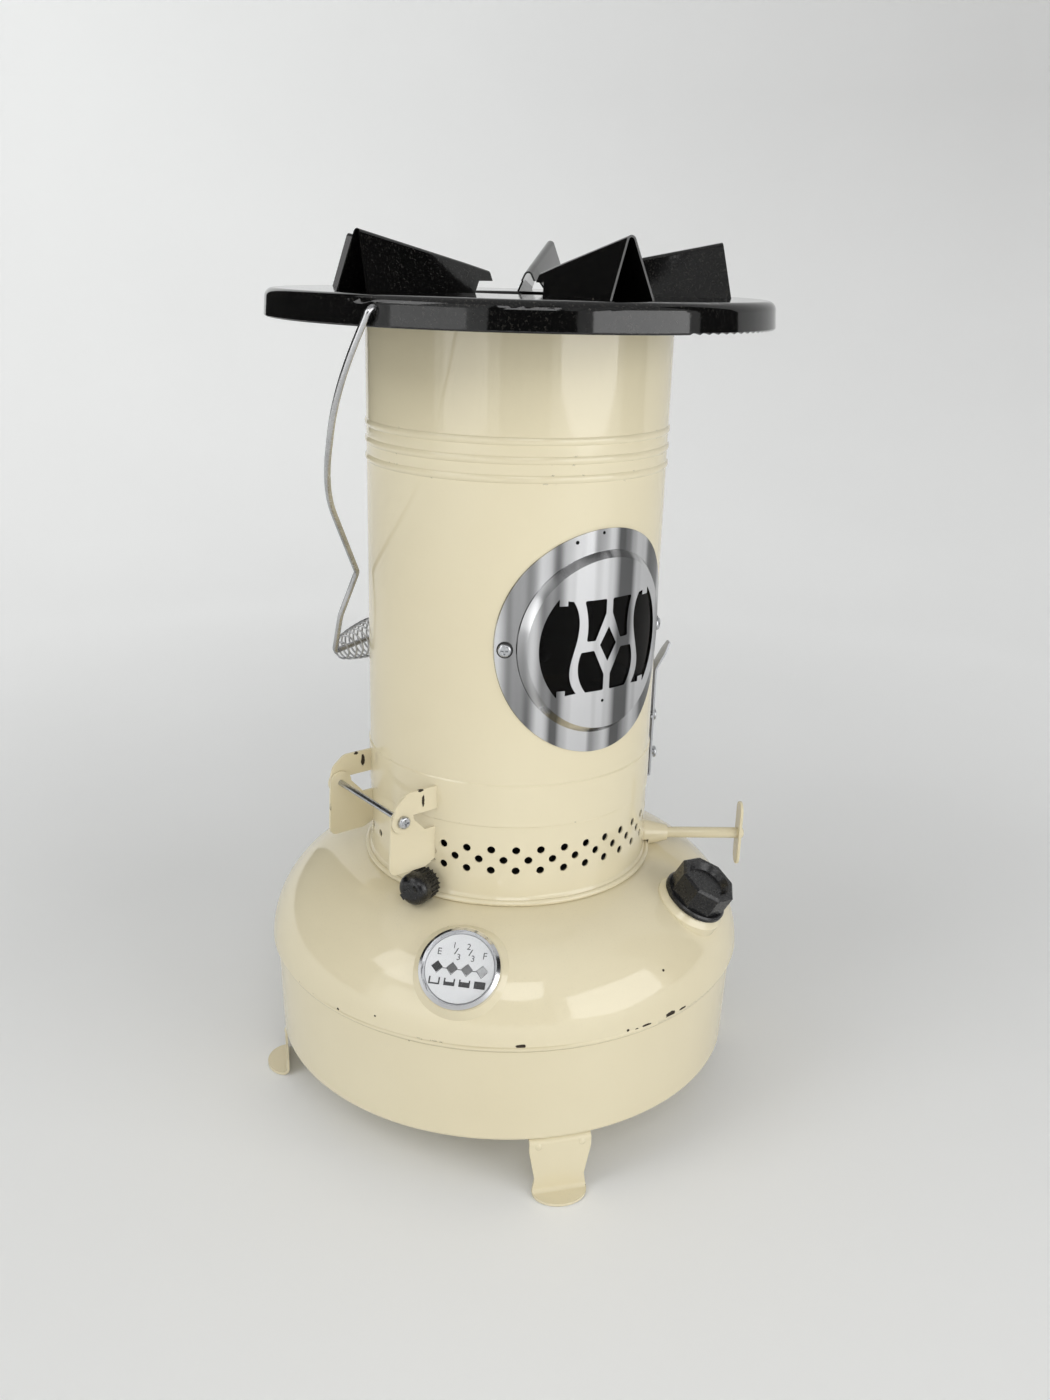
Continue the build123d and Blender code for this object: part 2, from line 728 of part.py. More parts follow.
# Drum
def drum_shell():
    half = swage_width / 2
    face = Plane.XZ * wall_face([(skirt_radius, drum_foot), (skirt_radius, skirt_top),
                                 (drum_radius, skirt_top + sheet), (drum_radius, drum_top),
                                 (drum_radius - drum_flange, drum_top)])
    body = revolve(face, Axis.Z)
    for height in swage_heights:
        arc = ThreePointArc((drum_radius - sheet, height - half), (drum_radius + swage_reach, height),
                            (drum_radius - sheet, height + half))
        rib = make_face(Curve() + [arc, Line((drum_radius - sheet, height + half), (drum_radius - sheet,
                                                                                     height - half))])
        body += revolve(Plane.XZ * rib, Axis.Z)
    body -= wrapped_disc(window_hole_radius, 0, drum_radius * 2)
    body -= [spoke_at_window(side, window_screw_radius() + seat_gap) for side in (1, -1)]
    root = lug_root(skirt_radius, upper_lug_offset()) - overrun
    slits = [lug_blank(side, upper_lug_outline(root), upper_lug_offset(), seat_gap) for side in (1, -1)]
    body -= [turned(hinge_azimuth, slit) for slit in slits]
    for height in (latch_pivot_height, latch_stud_height):
        body -= spoke(latch_azimuth, height, drum_radius - overrun, drum_radius + overrun,
                      latch_screw_radius + seat_gap)
    return body


def wall_face(points):
    """A drum wall drawn along its outer face from the foot up."""
    path = Polyline(*points)
    return make_face(offset(path, amount=sheet, side=Side.LEFT))


def wrap_x(u, radius):
    return radius * math.sin(u / radius)


def wrapped_disc(radius, near, far):
    """A round outline laid on the drum, cut straight through along Y."""
    around = [2 * math.pi * i / 24 for i in range(24)]
    points = [(wrap_x(radius * math.cos(a), drum_radius), radius * math.sin(a)) for a in around]
    face = make_face(Spline(*points, periodic=True))
    plane = Plane(origin=(0, -near, window_height), x_dir=(1, 0, 0), z_dir=(0, -1, 0))
    return extrude(plane * face, amount=far - near)


def window_screw_radius():
    return sheet * 2


def spoke_at_window(side, radius):
    azimuth = side * math.degrees(window_screw_offset / drum_radius)
    return spoke(azimuth, window_height - window_screw_drop, drum_radius - overrun, drum_radius + overrun, radius)


# Hob plate
def top_plate():
    hole_foot = plate_top - plate_hole_lip
    points = [(plate_hole_radius, hole_foot), (plate_hole_radius, plate_top), (plate_radius, plate_top),
              (plate_radius + plate_lip_reach, plate_lip_height + plate_bead_radius)]
    body = ring(points, [plate_hole_corner, plate_corner], plate_sheet, side=Side.RIGHT)
    bead_radius = plate_radius + plate_lip_reach - plate_bead_radius
    bead = Pos(bead_radius, plate_lip_height + plate_bead_radius) * Circle(plate_bead_radius)
    body += revolve(Plane.XZ * bead, Axis.Z)
    for side in (1, -1):
        body -= spoke(bail_azimuth + side * 90, bail_pivot_height, plate_radius - overrun, plate_radius + overrun,
                      bail_wire_radius + pin_gap)
    return body


def support_section(distance, height, half_width, shrink):
    """The folded section of a pan support, a gable with a rounded ridge."""
    peak = height
    for _ in range(8):
        slope = math.atan2(peak, half_width)
        peak = height + support_ridge_radius * (1 / math.cos(slope) - 1)
    round_radius = support_ridge_radius - shrink
    foot = half_width - shrink / math.sin(slope)
    ridge = height - shrink
    touch_x = round_radius * math.sin(slope)
    touch_z = ridge - round_radius + round_radius * math.cos(slope)
    outline = Curve() + [
        Line((-foot, 0), (-touch_x, touch_z)),
        ThreePointArc((-touch_x, touch_z), (0, ridge), (touch_x, touch_z)),
        Line((touch_x, touch_z), (foot, 0)),
        Line((foot, 0), (-foot, 0)),
    ]
    plane = Plane(origin=(0, -distance, plate_top), x_dir=(1, 0, 0), z_dir=(0, -1, 0))
    return plane * make_face(outline)


def support_solid(shrink, extra):
    rise = (support_height - support_step_height) / (support_outer_radius - support_step_radius)
    widen = (support_half_width - support_step_half_width) / (support_outer_radius - support_step_radius)
    reach = support_outer_slant + extra
    outer = support_section(support_outer_radius + reach, support_height + rise * reach,
                            support_half_width + widen * reach, shrink)
    step = support_section(support_step_radius, support_step_height, support_step_half_width, shrink)
    fall = (support_step_height - support_nose_height) / (support_step_radius - support_nose_radius)
    narrow = (support_step_half_width - support_nose_half_width) / (support_step_radius - support_nose_radius)
    nose = support_section(support_nose_radius - extra, support_nose_height - fall * extra,
                           support_nose_half_width - narrow * extra, shrink)
    return loft([outer, step], ruled=True) + loft([step, nose], ruled=True)


def pan_support(azimuth):
    body = support_solid(0, 0) - support_solid(support_sheet, overrun)
    top = support_height + overrun
    slant = support_outer_slant * top / support_height
    side = Polyline((support_outer_radius + support_outer_slant, 0), (support_step_radius, 0),
                    (support_step_radius - support_nose_underside, support_nose_underside),
                    (support_nose_radius - overrun, support_nose_underside), (support_nose_radius - overrun, top),
                    (support_outer_radius + support_outer_slant - slant, top), close=True)
    mask = extrude(side_plane(0, plate_top) * make_face(side), amount=support_half_width + overrun, both=True)
    return turned(azimuth, body & mask)


# Window
def window_guard():
    low = drum_radius + seat_gap
    high = low + window_sheet
    panel = low + window_panel_reach
    step = window_step_radius
    flange = tube(low, high, 0, plate_top) & wrapped_disc(window_radius, 0, drum_radius * 2)
    flange -= wrapped_disc(step - window_sheet, 0, drum_radius * 2)
    outside = raised_disc(step, low, panel + window_sheet)
    inside = raised_disc(step - window_sheet, low - overrun, panel)
    body = flange + (outside - inside) - guard_openings()
    return body - [spoke_at_window(side, window_screw_radius() + seat_gap) for side in (1, -1)]


def raised_disc(radius, low, high):
    """The swell of the guard's centre, whose rim slopes in towards the panel."""
    disc = wrapped_disc(radius, 0, drum_radius * 2) & tube(low, high, 0, plate_top)
    front = disc.faces().sort_by(Axis.Y)[0]
    return chamfer(front.edges(), window_step_width)


def guard_openings():
    radius = guard_opening_radius
    solids = []
    plane = Plane(origin=(0, -drum_radius / 2, window_height), x_dir=(1, 0, 0), z_dir=(0, -1, 0))
    for side in (1, -1):
        for shares in (guard_upper_shares, guard_lower_shares):
            cell = guard_cell(shares, side, radius)
            solids.append(extrude(plane * cell, amount=drum_radius))
        bar = [(side * wrap_x(u * radius, drum_radius), v * radius) for u, v in guard_bar_shares]
        high = math.asin(guard_end_share)
        wide = [(side * wrap_x(radius * math.cos(a), drum_radius), radius * math.sin(a))
                for a in (high, high / 2, 0, -high / 2, -high)]
        outline = Curve() + [
            Spline(*bar),
            Line(bar[-1], wide[-1]),
            Spline(*wide),
            Line(wide[0], bar[0]),
        ]
        crescent = make_face(outline)
        for top in (1, -1):
            tab = [(side * wrap_x(u * radius, drum_radius), top * v * radius) for u, v in guard_tab_shares]
            crescent -= make_face(Polyline(*tab, close=True))
        solids.append(extrude(plane * crescent, amount=drum_radius))
    diamond = [(wrap_x(u * radius, drum_radius), v * radius) for u, v in guard_diamond_shares]
    solids.append(extrude(plane * make_face(Polyline(*diamond, close=True)), amount=drum_radius))
    return solids


def guard_cell(shares, side, radius):
    points = [(side * wrap_x(u * radius, drum_radius), v * radius) for u, v in shares]
    edge = points[-1]
    outline = Curve() + [Polyline(*points[:-1]), ThreePointArc(points[-2], edge, points[0])]
    face = make_face(outline)
    return fillet(face.vertices(), guard_corner)


def mica_window():
    outer = drum_radius + window_panel_reach - seat_gap
    return tube(outer - mica_sheet, outer, 0, plate_top) & wrapped_disc(mica_radius - seat_gap, 0, drum_radius * 2)


def window_screws():
    screws = []
    seat = drum_radius + 2 * seat_gap + window_sheet
    for side in (1, -1):
        azimuth = side * math.degrees(window_screw_offset / drum_radius)
        height = window_height - window_screw_drop
        shank = spoke(azimuth, height, drum_radius - 3 * sheet, seat + sheet, window_screw_radius())
        head = Pos(0, -seat, height) * Rot(90, 0, 0) * pan_head(hinge_pin_head_radius, hinge_pin_head)
        screws.append(turned(azimuth, head) + shank)
    return Compound(children=screws)


# Chimney
def inner_chimney():
    low = chimney_foot
    points = [(chimney_radius, low), (chimney_radius, chimney_top),
              (chimney_radius + chimney_flare, chimney_top + chimney_flare)]
    body = ring(points, [chimney_flare / 2], sheet)
    hole = Plane(origin=(0, 0, window_height), x_dir=(1, 0, 0), z_dir=(0, -1, 0)) * Circle(chimney_window_radius)
    return body - extrude(hole, amount=chimney_radius + overrun)


def chimney_shelf():
    inner = chimney_radius + seat_gap
    outer = drum_radius - 2 * sheet - seat_gap
    high = chimney_shelf_height
    points = [(inner, high - chimney_shelf_rim), (inner, high), (outer, high), (outer, high + chimney_shelf_rim)]
    shelf = ring(points, [sheet * 2, sheet * 2], sheet, side=Side.RIGHT)
    middle = (inner + outer) / 2
    hole = Pos(0, -middle, high) * Cylinder(chimney_shelf_hole, 2 * overrun)
    step = 360 / chimney_shelf_hole_count
    return shelf - [turned(step * i, hole) for i in range(chimney_shelf_hole_count)]


def flame_baffle():
    outer = chimney_radius - sheet - seat_gap
    rim = sheet * 4
    points = [(baffle_hole_radius, baffle_height - rim), (baffle_hole_radius, baffle_height),
              (outer, baffle_height), (outer, baffle_height - rim)]
    return ring(points, [sheet * 2, sheet * 2], sheet, side=Side.RIGHT)


# Latch
def latch_lever():
    inner = latch_face_radius
    outer = inner + latch_sheet
    hook = collar_radius + 2 * move_gap
    path = FilletPolyline((hook, latch_foot), (outer, latch_foot), (outer, latch_bend_height),
                          (outer + latch_tab_reach, latch_top), radius=[latch_sheet * 1.2, latch_sheet * 3])
    side = make_face(offset(path, amount=latch_sheet, side=Side.LEFT))
    strip = extrude(side_plane(0) * side, amount=latch_width / 2, both=True)
    front_low = latch_foot - overrun
    half = latch_width / 2
    front = make_face(Polyline((-half, front_low), (half, front_low), (half, latch_top - half),
                               (half * 0.5, latch_top + sheet), (-half * 0.5, latch_top + sheet),
                               (-half, latch_top - half), close=True))
    mask = extrude(Plane.XZ * front, amount=plate_radius)
    rocker = Pos(0, -inner, latch_pivot_height) * Rot(0, 90, 0) * Cylinder(latch_rocker_radius, latch_width)
    strip = (strip & mask) + rocker
    for height in (latch_pivot_height, latch_stud_height):
        strip -= spoke(0, height, inner - overrun, outer + overrun, latch_screw_radius + move_gap)
    return turned(latch_azimuth, strip)


def latch_screws():
    swing = math.sin(math.radians(latch_angle))
    screws = []
    for height in (latch_pivot_height, latch_stud_height):
        lift = max(latch_head_radius, latch_pivot_height - height) * swing
        seat = latch_face_radius + latch_sheet + lift + move_gap
        head = Pos(0, -seat, height) * Rot(90, 0, 0) * pan_head(latch_head_radius, latch_head)
        shank = spoke(0, height, drum_radius - 3 * sheet, seat + latch_head / 2, latch_screw_radius)
        screws.append(turned(latch_azimuth, head + shank))
    return Compound(children=screws)


def latch_spring_face():
    return latch_face_radius - latch_rocker_radius - move_gap


def latch_boss():
    """The spacer under the lever's rolled rocker, with the leaf spring's seat."""
    body = spoke(0, latch_pivot_height, drum_radius - 2 * sheet, latch_spring_face() - latch_spring_sheet,
                 latch_boss_radius)
    body -= tube(0, drum_radius + seat_gap, 0, plate_top)
    return turned(latch_azimuth, body - spoke(0, latch_pivot_height, 0, plate_radius, latch_screw_radius + seat_gap))


def latch_spring():
    seat = latch_spring_face() - latch_spring_sheet
    far = drum_radius + move_gap
    low = latch_pivot_height - latch_boss_radius
    high = latch_pivot_height + latch_boss_radius
    tip = high + latch_spring_length
    path = FilletPolyline((seat, low), (seat, high), (far, high + latch_spring_length / 2), (far, tip),
                          radius=latch_spring_sheet * 3)
    side = make_face(offset(path, amount=latch_spring_sheet, side=Side.RIGHT))
    leaf = extrude(side_plane(0) * side, amount=latch_boss_radius * 0.8, both=True)
    return turned(latch_azimuth, leaf - spoke(0, latch_pivot_height, 0, plate_radius, latch_screw_radius + seat_gap))


# Bail
def bail_angle():
    return math.asin((drum_radius + grip_mid_radius + grip_wire_radius + move_gap) / grip_drop)


def bail_plane():
    """The plane of the hanging bail: X along the pivot axis, Y down the bail."""
    turn = math.radians(bail_azimuth)
    out = Vector(math.sin(turn), -math.cos(turn), 0)
    down = out * math.sin(bail_angle()) - Vector(0, 0, 1) * math.cos(bail_angle())
    across = Vector(math.cos(turn), math.sin(turn), 0)
    return Plane(origin=(0, 0, bail_pivot_height), x_dir=across, z_dir=across.cross(down))


def bail_wire():
    half = [(bail_hook_inner, 0), (bail_hook_outer, 0), (bail_bow_width, bail_bow_drop),
            (bail_side_width, bail_side_drop), (bail_kink_width, bail_kink_drop),
            (bail_neck_width, bail_neck_drop), (grip_half_length, grip_drop)]
    points = half + [(-x, y) for x, y in reversed(half)]
    bend = bail_wire_radius * 3
    radii = [bail_wire_radius * 2.2, bail_bow_radius, bail_bow_radius, bend, bend * 4, bend]
    path = FilletPolyline(*points, radius=radii + radii[::-1])
    path = bail_plane() * path
    start = Plane(origin=path @ 0, z_dir=path % 0)
    return sweep(start * Circle(bail_wire_radius), path=path)


def grip_radius(share):
    """Radius of the grip's coil at a share of its turns, drawn in to hug the wire at both ends."""
    hug = bail_wire_radius + grip_wire_radius + seat_gap
    barrel = grip_end_radius + (grip_mid_radius - grip_end_radius) * math.sin(math.pi * share) ** 0.8
    edge = min(share, 1 - share) * grip_turns
    return hug + (barrel - hug) * min(1, edge) ** 0.7 if edge < 1 else barrel


def coil_point(step, steps):
    share = step / steps
    angle = 2 * math.pi * grip_turns * share
    radius = grip_radius(share)
    length = 2 * grip_half_length - 4 * bail_wire_radius
    return Vector(length * (share - 0.5), grip_drop + radius * math.cos(angle), radius * math.sin(angle))


def coil_path(steps):
    """Two tangent arcs for each stretch between points of the coil."""
    small = 0.001
    edges = []
    for step in range(steps):
        start = coil_point(step, steps)
        end = coil_point(step + 1, steps)
        ahead = (coil_point(min(step + small, steps), steps) - coil_point(max(step - small, 0), steps)).normalized()
        after = (coil_point(min(step + 1 + small, steps), steps) - coil_point(step + 1 - small, steps)).normalized()
        chord = end - start
        both = ahead + after
        a = 2 * (ahead.dot(after) - 1)
        b = -2 * chord.dot(both)
        c = chord.dot(chord)
        reach = (-b - math.sqrt(b * b - 4 * a * c)) / (2 * a)
        middle = (start + ahead * reach + end - after * reach) * 0.5
        edges.append(Edge.make_tangent_arc(start, ahead, middle))
        edges.append(Edge.make_tangent_arc(middle, (end - after * reach - middle), end))
    return edges


def bail_grip():
    steps = grip_turns * 4
    edges = coil_path(steps)
    points = [edge @ t for edge in edges for t in (0, 0.5)]
    turn = len(points) // grip_turns
    least = min((points[i] - points[j]).length for i in range(len(points))
                for j in range(i + turn // 2, min(i + 2 * turn, len(points))))
    print("grip coil: least gap between turns", round(least - 2 * grip_wire_radius, 3))
    path = bail_plane() * Wire(edges)
    start = Plane(origin=path @ 0, z_dir=path % 0)
    return sweep(start * Circle(grip_wire_radius), path=path)


# Gauge
def gauge_ring(points):
    """A ring round the gauge's axis, from an outline of radius and depth."""
    return gauge_plane.location * revolve(Plane.XZ * make_face(Polyline(*points, close=True)), Axis.Z)


def gauge_bezel():
    outer = gauge_bezel_radius
    inner = outer - gauge_bezel_lip
    well = gauge_well_radius()
    foot = gauge_boss_proud
    top = foot + gauge_bezel_depth
    back = foot - gauge_well_depth
    return gauge_ring([(outer, foot), (outer, top - gauge_bezel_lip), (inner, top), (inner, top - gauge_lens_sheet),
                       (well - sheet, top - gauge_lens_sheet - gauge_dial_depth),
                       (well - sheet, back + sheet), (gauge_stem_radius + seat_gap, back + sheet),
                       (gauge_stem_radius + seat_gap, back), (well, back), (well, foot)])


def gauge_lens():
    top = gauge_boss_proud + gauge_bezel_depth
    inner = gauge_bezel_radius - gauge_bezel_lip - seat_gap
    return gauge_plane.offset(top - gauge_lens_sheet).location * Cylinder(
        inner, gauge_lens_sheet, align=(Align.CENTER, Align.CENTER, Align.MIN))


def dial_depth():
    return gauge_boss_proud + gauge_bezel_depth - gauge_lens_sheet - gauge_dial_depth


def gauge_dial():
    radius = gauge_well_radius() - sheet - seat_gap
    face = Circle(radius)
    for i in range(4):
        x = (i - 1.5) * gauge_window_pitch
        face -= Pos(x, 0) * Rot(0, 0, 45) * Rectangle(gauge_diamond * math.sqrt(2), gauge_diamond * math.sqrt(2))
    return gauge_plane.offset(dial_depth()).location * extrude(face, amount=gauge_dial_sheet)


def gauge_indicator():
    radius = gauge_well_radius() - sheet - move_gap
    disc = extrude(Circle(radius), amount=gauge_dial_sheet)
    spindle = Pos(0, 0, -gauge_well_depth) * extrude(Circle(gauge_stem_radius / 2), amount=gauge_well_depth)
    return gauge_plane.offset(dial_depth() - move_gap - gauge_dial_sheet).location * (disc + spindle)


def float_pivot():
    turn = math.radians(gauge_azimuth)
    return Vector(math.sin(turn), -math.cos(turn), 0) * float_pivot_radius + Vector(0, 0, float_pivot_height)


def gauge_stem():
    top = gauge_boss_proud - gauge_well_depth - seat_gap
    start = gauge_plane.origin + gauge_plane.z_dir * top
    end = float_pivot()
    length = (end - start).length
    plane = Plane(origin=start, z_dir=end - start)
    tube_face = Circle(gauge_stem_radius)
    body = extrude(plane * tube_face, amount=length)
    flange = Plane(origin=start, z_dir=gauge_plane.z_dir) * Circle(gauge_stem_radius * 2)
    body += extrude(flange, amount=-sheet)
    body -= extrude(Plane(origin=start, z_dir=gauge_plane.z_dir) * Circle(gauge_stem_radius * 3), amount=overrun)
    bore = Plane(origin=start, z_dir=gauge_plane.z_dir) * Circle(gauge_stem_radius / 2 + pin_gap * 2)
    eye = Plane(origin=end, z_dir=(gauge_plane.x_dir.cross(Vector(0, 0, 1))))
    body += extrude(eye * Circle(gauge_stem_radius * 1.6), amount=gauge_stem_radius, both=True)
    body -= extrude(eye * Circle(float_arm_radius + pin_gap), amount=overrun, both=True)
    return body - extrude(bore, amount=gauge_well_depth, both=True)


def float_arm():
    eye = Plane(origin=float_pivot(), x_dir=gauge_plane.x_dir, z_dir=gauge_plane.x_dir.cross(Vector(0, 0, 1)))
    angle = math.radians(float_rest_angle)
    away = -float_arm_offset
    path = FilletPolyline((0, 0, float_arm_offset), (0, 0, away),
                          (float_arm_length * math.cos(angle), float_arm_length * math.sin(angle), away),
                          radius=float_arm_radius * 2)
    start = Plane(origin=path @ 0, z_dir=path % 0)
    return eye.location * sweep(start * Circle(float_arm_radius), path=path)


def float_ball():
    eye = Plane(origin=float_pivot(), x_dir=gauge_plane.x_dir, z_dir=gauge_plane.x_dir.cross(Vector(0, 0, 1)))
    angle = math.radians(float_rest_angle)
    reach = float_arm_length + float_radius / 2
    centre = Pos(reach * math.cos(angle), reach * math.sin(angle), -float_arm_offset)
    drum = Cylinder(float_radius, float_length)
    drum = fillet(drum.edges(), float_radius / 5)
    bore_axis = Plane(origin=(0, 0, -float_arm_offset), z_dir=(math.cos(angle), math.sin(angle), 0))
    bore = extrude(bore_axis * Circle(float_arm_radius + seat_gap), amount=float_arm_length + seat_gap)
    return eye.location * (centre * drum - bore)


# Filler
def filler_neck():
    outer = neck_bore_radius + neck_wall
    high = neck_top()
    points = [(neck_bore_radius, -neck_length), (outer, -neck_length), (outer, 0), (neck_flange_radius, 0),
              (neck_flange_radius - neck_rise, neck_rise), (outer, neck_rise), (outer, high),
              (neck_bore_radius, high)]
    body = cap_plane.location * revolve(Plane.XZ * make_face(Polyline(*points, close=True)), Axis.Z)
    skirt = extrude(cap_plane * Circle(neck_flange_radius), amount=-neck_length)
    skirt -= revolve(Plane.XZ * tank_outside(), Axis.Z)
    return body + (skirt - extrude(cap_plane * Circle(neck_bore_radius), amount=-neck_length))


def tank_outside():
    width = shoulder_width + seat_gap
    rise = shoulder_rise + seat_gap
    outline = [
        shoulder_arc(width, rise, 0, 90),
        Polyline((shoulder_centre_radius, shoulder_centre_height + rise), (0, shoulder_centre_height + rise),
                 (0, shoulder_centre_height), (shoulder_centre_radius + width, shoulder_centre_height)),
    ]
    return make_face(Curve() + outline)


def filler_cap():
    foot = neck_rise + move_gap
    seat = foot + cap_flange
    top = seat + cap_body_height
    flange = Pos(0, 0, foot) * extrude(Circle(cap_flange_radius), amount=cap_flange)
    flange = chamfer(flange.edges().group_by(Axis.Z)[-1], cap_flange / 3)
    body = Pos(0, 0, seat) * extrude(RegularPolygon(cap_body_across / 2, cap_sides, major_radius=False),
                                     amount=cap_body_height)
    body = chamfer(body.edges().group_by(Axis.Z)[-1], cap_flange / 2)
    bowl = loft([Pos(0, 0, top - cap_dish_depth) * Circle(cap_dish_radius * 0.8),
                 Pos(0, 0, top) * Circle(cap_dish_radius)])
    bore_top = neck_top() + move_gap + cap_gasket_sheet + move_gap
    bore = Pos(0, 0, foot - overrun) * extrude(Circle(neck_bore_radius + neck_wall + move_gap),
                                               amount=bore_top - foot + overrun)
    return cap_plane.location * (flange + body - bowl - bore)


def neck_top():
    return neck_rise + cap_flange + cap_body_height / 3


def cap_gasket():
    high = neck_top() + move_gap
    outer = neck_bore_radius + neck_wall
    body = extrude(cap_plane.offset(high) * Circle(outer), amount=cap_gasket_sheet)
    return body


# Collar lock screw
def lock_knob():
    seat = collar_radius + knob_seat_gap
    grip = Circle(knob_radius)
    for i in range(knob_ribs):
        grip -= Rot(0, 0, 360 * i / knob_ribs) * Pos(knob_radius, 0) * Circle(knob_rib_radius)
    body = extrude(grip, amount=knob_rib_length)
    dome = Pos(0, 0, knob_rib_length) * extrude(Circle(knob_radius), amount=knob_length - knob_rib_length)
    dome = fillet(dome.edges().sort_by(Axis.Z)[-1], knob_radius * 0.55)
    bar = Pos(0, 0, knob_length) * Rot(0, 0, 40) * Box(knob_radius * 1.2, knob_bar_width, 2 * knob_bar_height)
    plane = Plane(origin=(0, -seat, knob_height), x_dir=(1, 0, 0), z_dir=(0, -1, 0))
    return turned(knob_azimuth, plane.location * (body + dome + bar))


def lock_screw():
    start = collar_radius - knob_stud_length
    stud = spoke(0, knob_height, start, collar_radius + knob_seat_gap, knob_stud_radius)
    return turned(knob_azimuth, stud)


def build():
    parts["tank_lower_shell"] = tank_lower_shell()
    parts["tank_upper_shell"] = tank_upper_shell()
    for name, azimuth in foot_azimuths.items():
        parts["foot_" + name] = turned(azimuth, foot())
    parts["draught_tube"] = draught_tube()
    parts["outer_wick_tube"] = outer_wick_tube()
    parts["burner_plate"] = burner_plate()
    parts["burner_deck"] = burner_deck()
    parts["flame_spreader"] = flame_spreader()
    parts["wick"] = wick()
    parts["wick_sleeve"] = wick_sleeve()
    parts["gallery_ring"] = gallery_ring()
    parts["winder_gland"] = winder_gland()
    parts["winder_spindle"] = winder_spindle()
    parts["winder_pinion"] = winder_pinion()
    parts["winder_key"] = winder_key()
    parts["winder_rivet"] = winder_rivet()
    parts["hinge_bracket_lower"] = hinge_bracket_lower()
    parts["hinge_bracket_upper"] = hinge_bracket_upper()
    parts["hinge_pin"] = hinge_pin()
    parts["hinge_pin_screws"] = hinge_pin_screws()
    parts["drum_shell"] = drum_shell()
    parts["top_plate"] = top_plate()
    for number, azimuth in enumerate(support_azimuths, 1):
        parts["pan_support_" + str(number)] = pan_support(azimuth)
    parts["window_guard"] = window_guard()
    parts["mica_window"] = mica_window()
    parts["window_screws"] = window_screws()
    parts["inner_chimney"] = inner_chimney()
    parts["chimney_shelf"] = chimney_shelf()
    parts["flame_baffle"] = flame_baffle()
    parts["latch_lever"] = latch_lever()
    parts["latch_screws"] = latch_screws()
    parts["latch_boss"] = latch_boss()
    parts["latch_spring"] = latch_spring()
    parts["bail_wire"] = bail_wire()
    parts["bail_grip"] = bail_grip()
    parts["gauge_bezel"] = gauge_bezel()
    parts["gauge_lens"] = gauge_lens()
    parts["gauge_dial"] = gauge_dial()
    parts["gauge_indicator"] = gauge_indicator()
    parts["gauge_stem"] = gauge_stem()
    parts["float_arm"] = float_arm()
    parts["float_ball"] = float_ball()
    parts["filler_neck"] = filler_neck()
    parts["filler_cap"] = filler_cap()
    parts["cap_gasket"] = cap_gasket()
    parts["lock_knob"] = lock_knob()
    parts["lock_screw"] = lock_screw()


build()
os.makedirs("parts", exist_ok=True)
for name, shape in parts.items():
    export_step(shape, "parts/" + name + ".step")
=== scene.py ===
import math
import bpy
import bmesh
from mathutils import Matrix, Vector


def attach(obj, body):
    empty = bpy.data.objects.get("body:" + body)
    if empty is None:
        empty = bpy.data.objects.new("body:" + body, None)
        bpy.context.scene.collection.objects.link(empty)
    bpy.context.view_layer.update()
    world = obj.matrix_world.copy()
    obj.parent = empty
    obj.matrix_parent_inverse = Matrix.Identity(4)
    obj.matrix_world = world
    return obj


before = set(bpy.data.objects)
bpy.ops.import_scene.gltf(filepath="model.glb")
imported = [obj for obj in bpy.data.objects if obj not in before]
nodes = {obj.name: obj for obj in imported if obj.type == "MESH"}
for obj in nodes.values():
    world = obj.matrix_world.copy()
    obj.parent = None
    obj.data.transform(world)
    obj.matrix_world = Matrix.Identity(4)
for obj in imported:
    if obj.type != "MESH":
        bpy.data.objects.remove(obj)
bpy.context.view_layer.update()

print("frame loaded,", len(nodes), "nodes")


# small helpers

def toLinear(red, green, blue):
    def one(v):
        v = v / 255
        return v / 12.92 if v <= 0.04045 else ((v + 0.055) / 1.055) ** 2.4
    return (one(red), one(green), one(blue), 1)


def outward(azimuth):
    turn = math.radians(azimuth)
    return Vector((math.sin(turn), -math.cos(turn), 0))


def sideways(azimuth):
    turn = math.radians(azimuth)
    return Vector((math.cos(turn), math.sin(turn), 0))


def newObject(name, mesh, body=None):
    made = bpy.data.objects.new(name, mesh)
    bpy.context.scene.collection.objects.link(made)
    if body:
        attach(made, body)
    return made


# shader helpers

def newGroup(name, inputs, outputs):
    group = bpy.data.node_groups.new(name, "ShaderNodeTree")
    for label, kind, value in inputs:
        socket = group.interface.new_socket(name=label, in_out="INPUT", socket_type=kind)
        if value is not None:
            socket.default_value = value
    for label, kind in outputs:
        group.interface.new_socket(name=label, in_out="OUTPUT", socket_type=kind)
    entry = group.nodes.new("NodeGroupInput")
    leave = group.nodes.new("NodeGroupOutput")
    entry.location, leave.location = (-1200, 0), (600, 0)
    return group, entry, leave


def addNode(tree, kind, place, **settings):
    made = tree.nodes.new(kind)
    made.location = place
    for key, value in settings.items():
        setattr(made, key, value)
    return made


def mathNode(tree, operation, place, first, second=None, third=None):
    made = addNode(tree, "ShaderNodeMath", place, operation=operation)
    for i, value in enumerate((first, second, third)):
        if value is None:
            continue
        if isinstance(value, (int, float)):
            made.inputs[i].default_value = value
        else:
            tree.links.new(value, made.inputs[i])
    return made.outputs[0]


def rangeNode(tree, place, value, low, high, outLow=0.0, outHigh=1.0):
    made = addNode(tree, "ShaderNodeMapRange", place)
    tree.links.new(value, made.inputs["Value"])
    for label, limit in (("From Min", low), ("From Max", high), ("To Min", outLow), ("To Max", outHigh)):
        if isinstance(limit, (int, float)):
            made.inputs[label].default_value = limit
        else:
            tree.links.new(limit, made.inputs[label])
    return made.outputs[0]


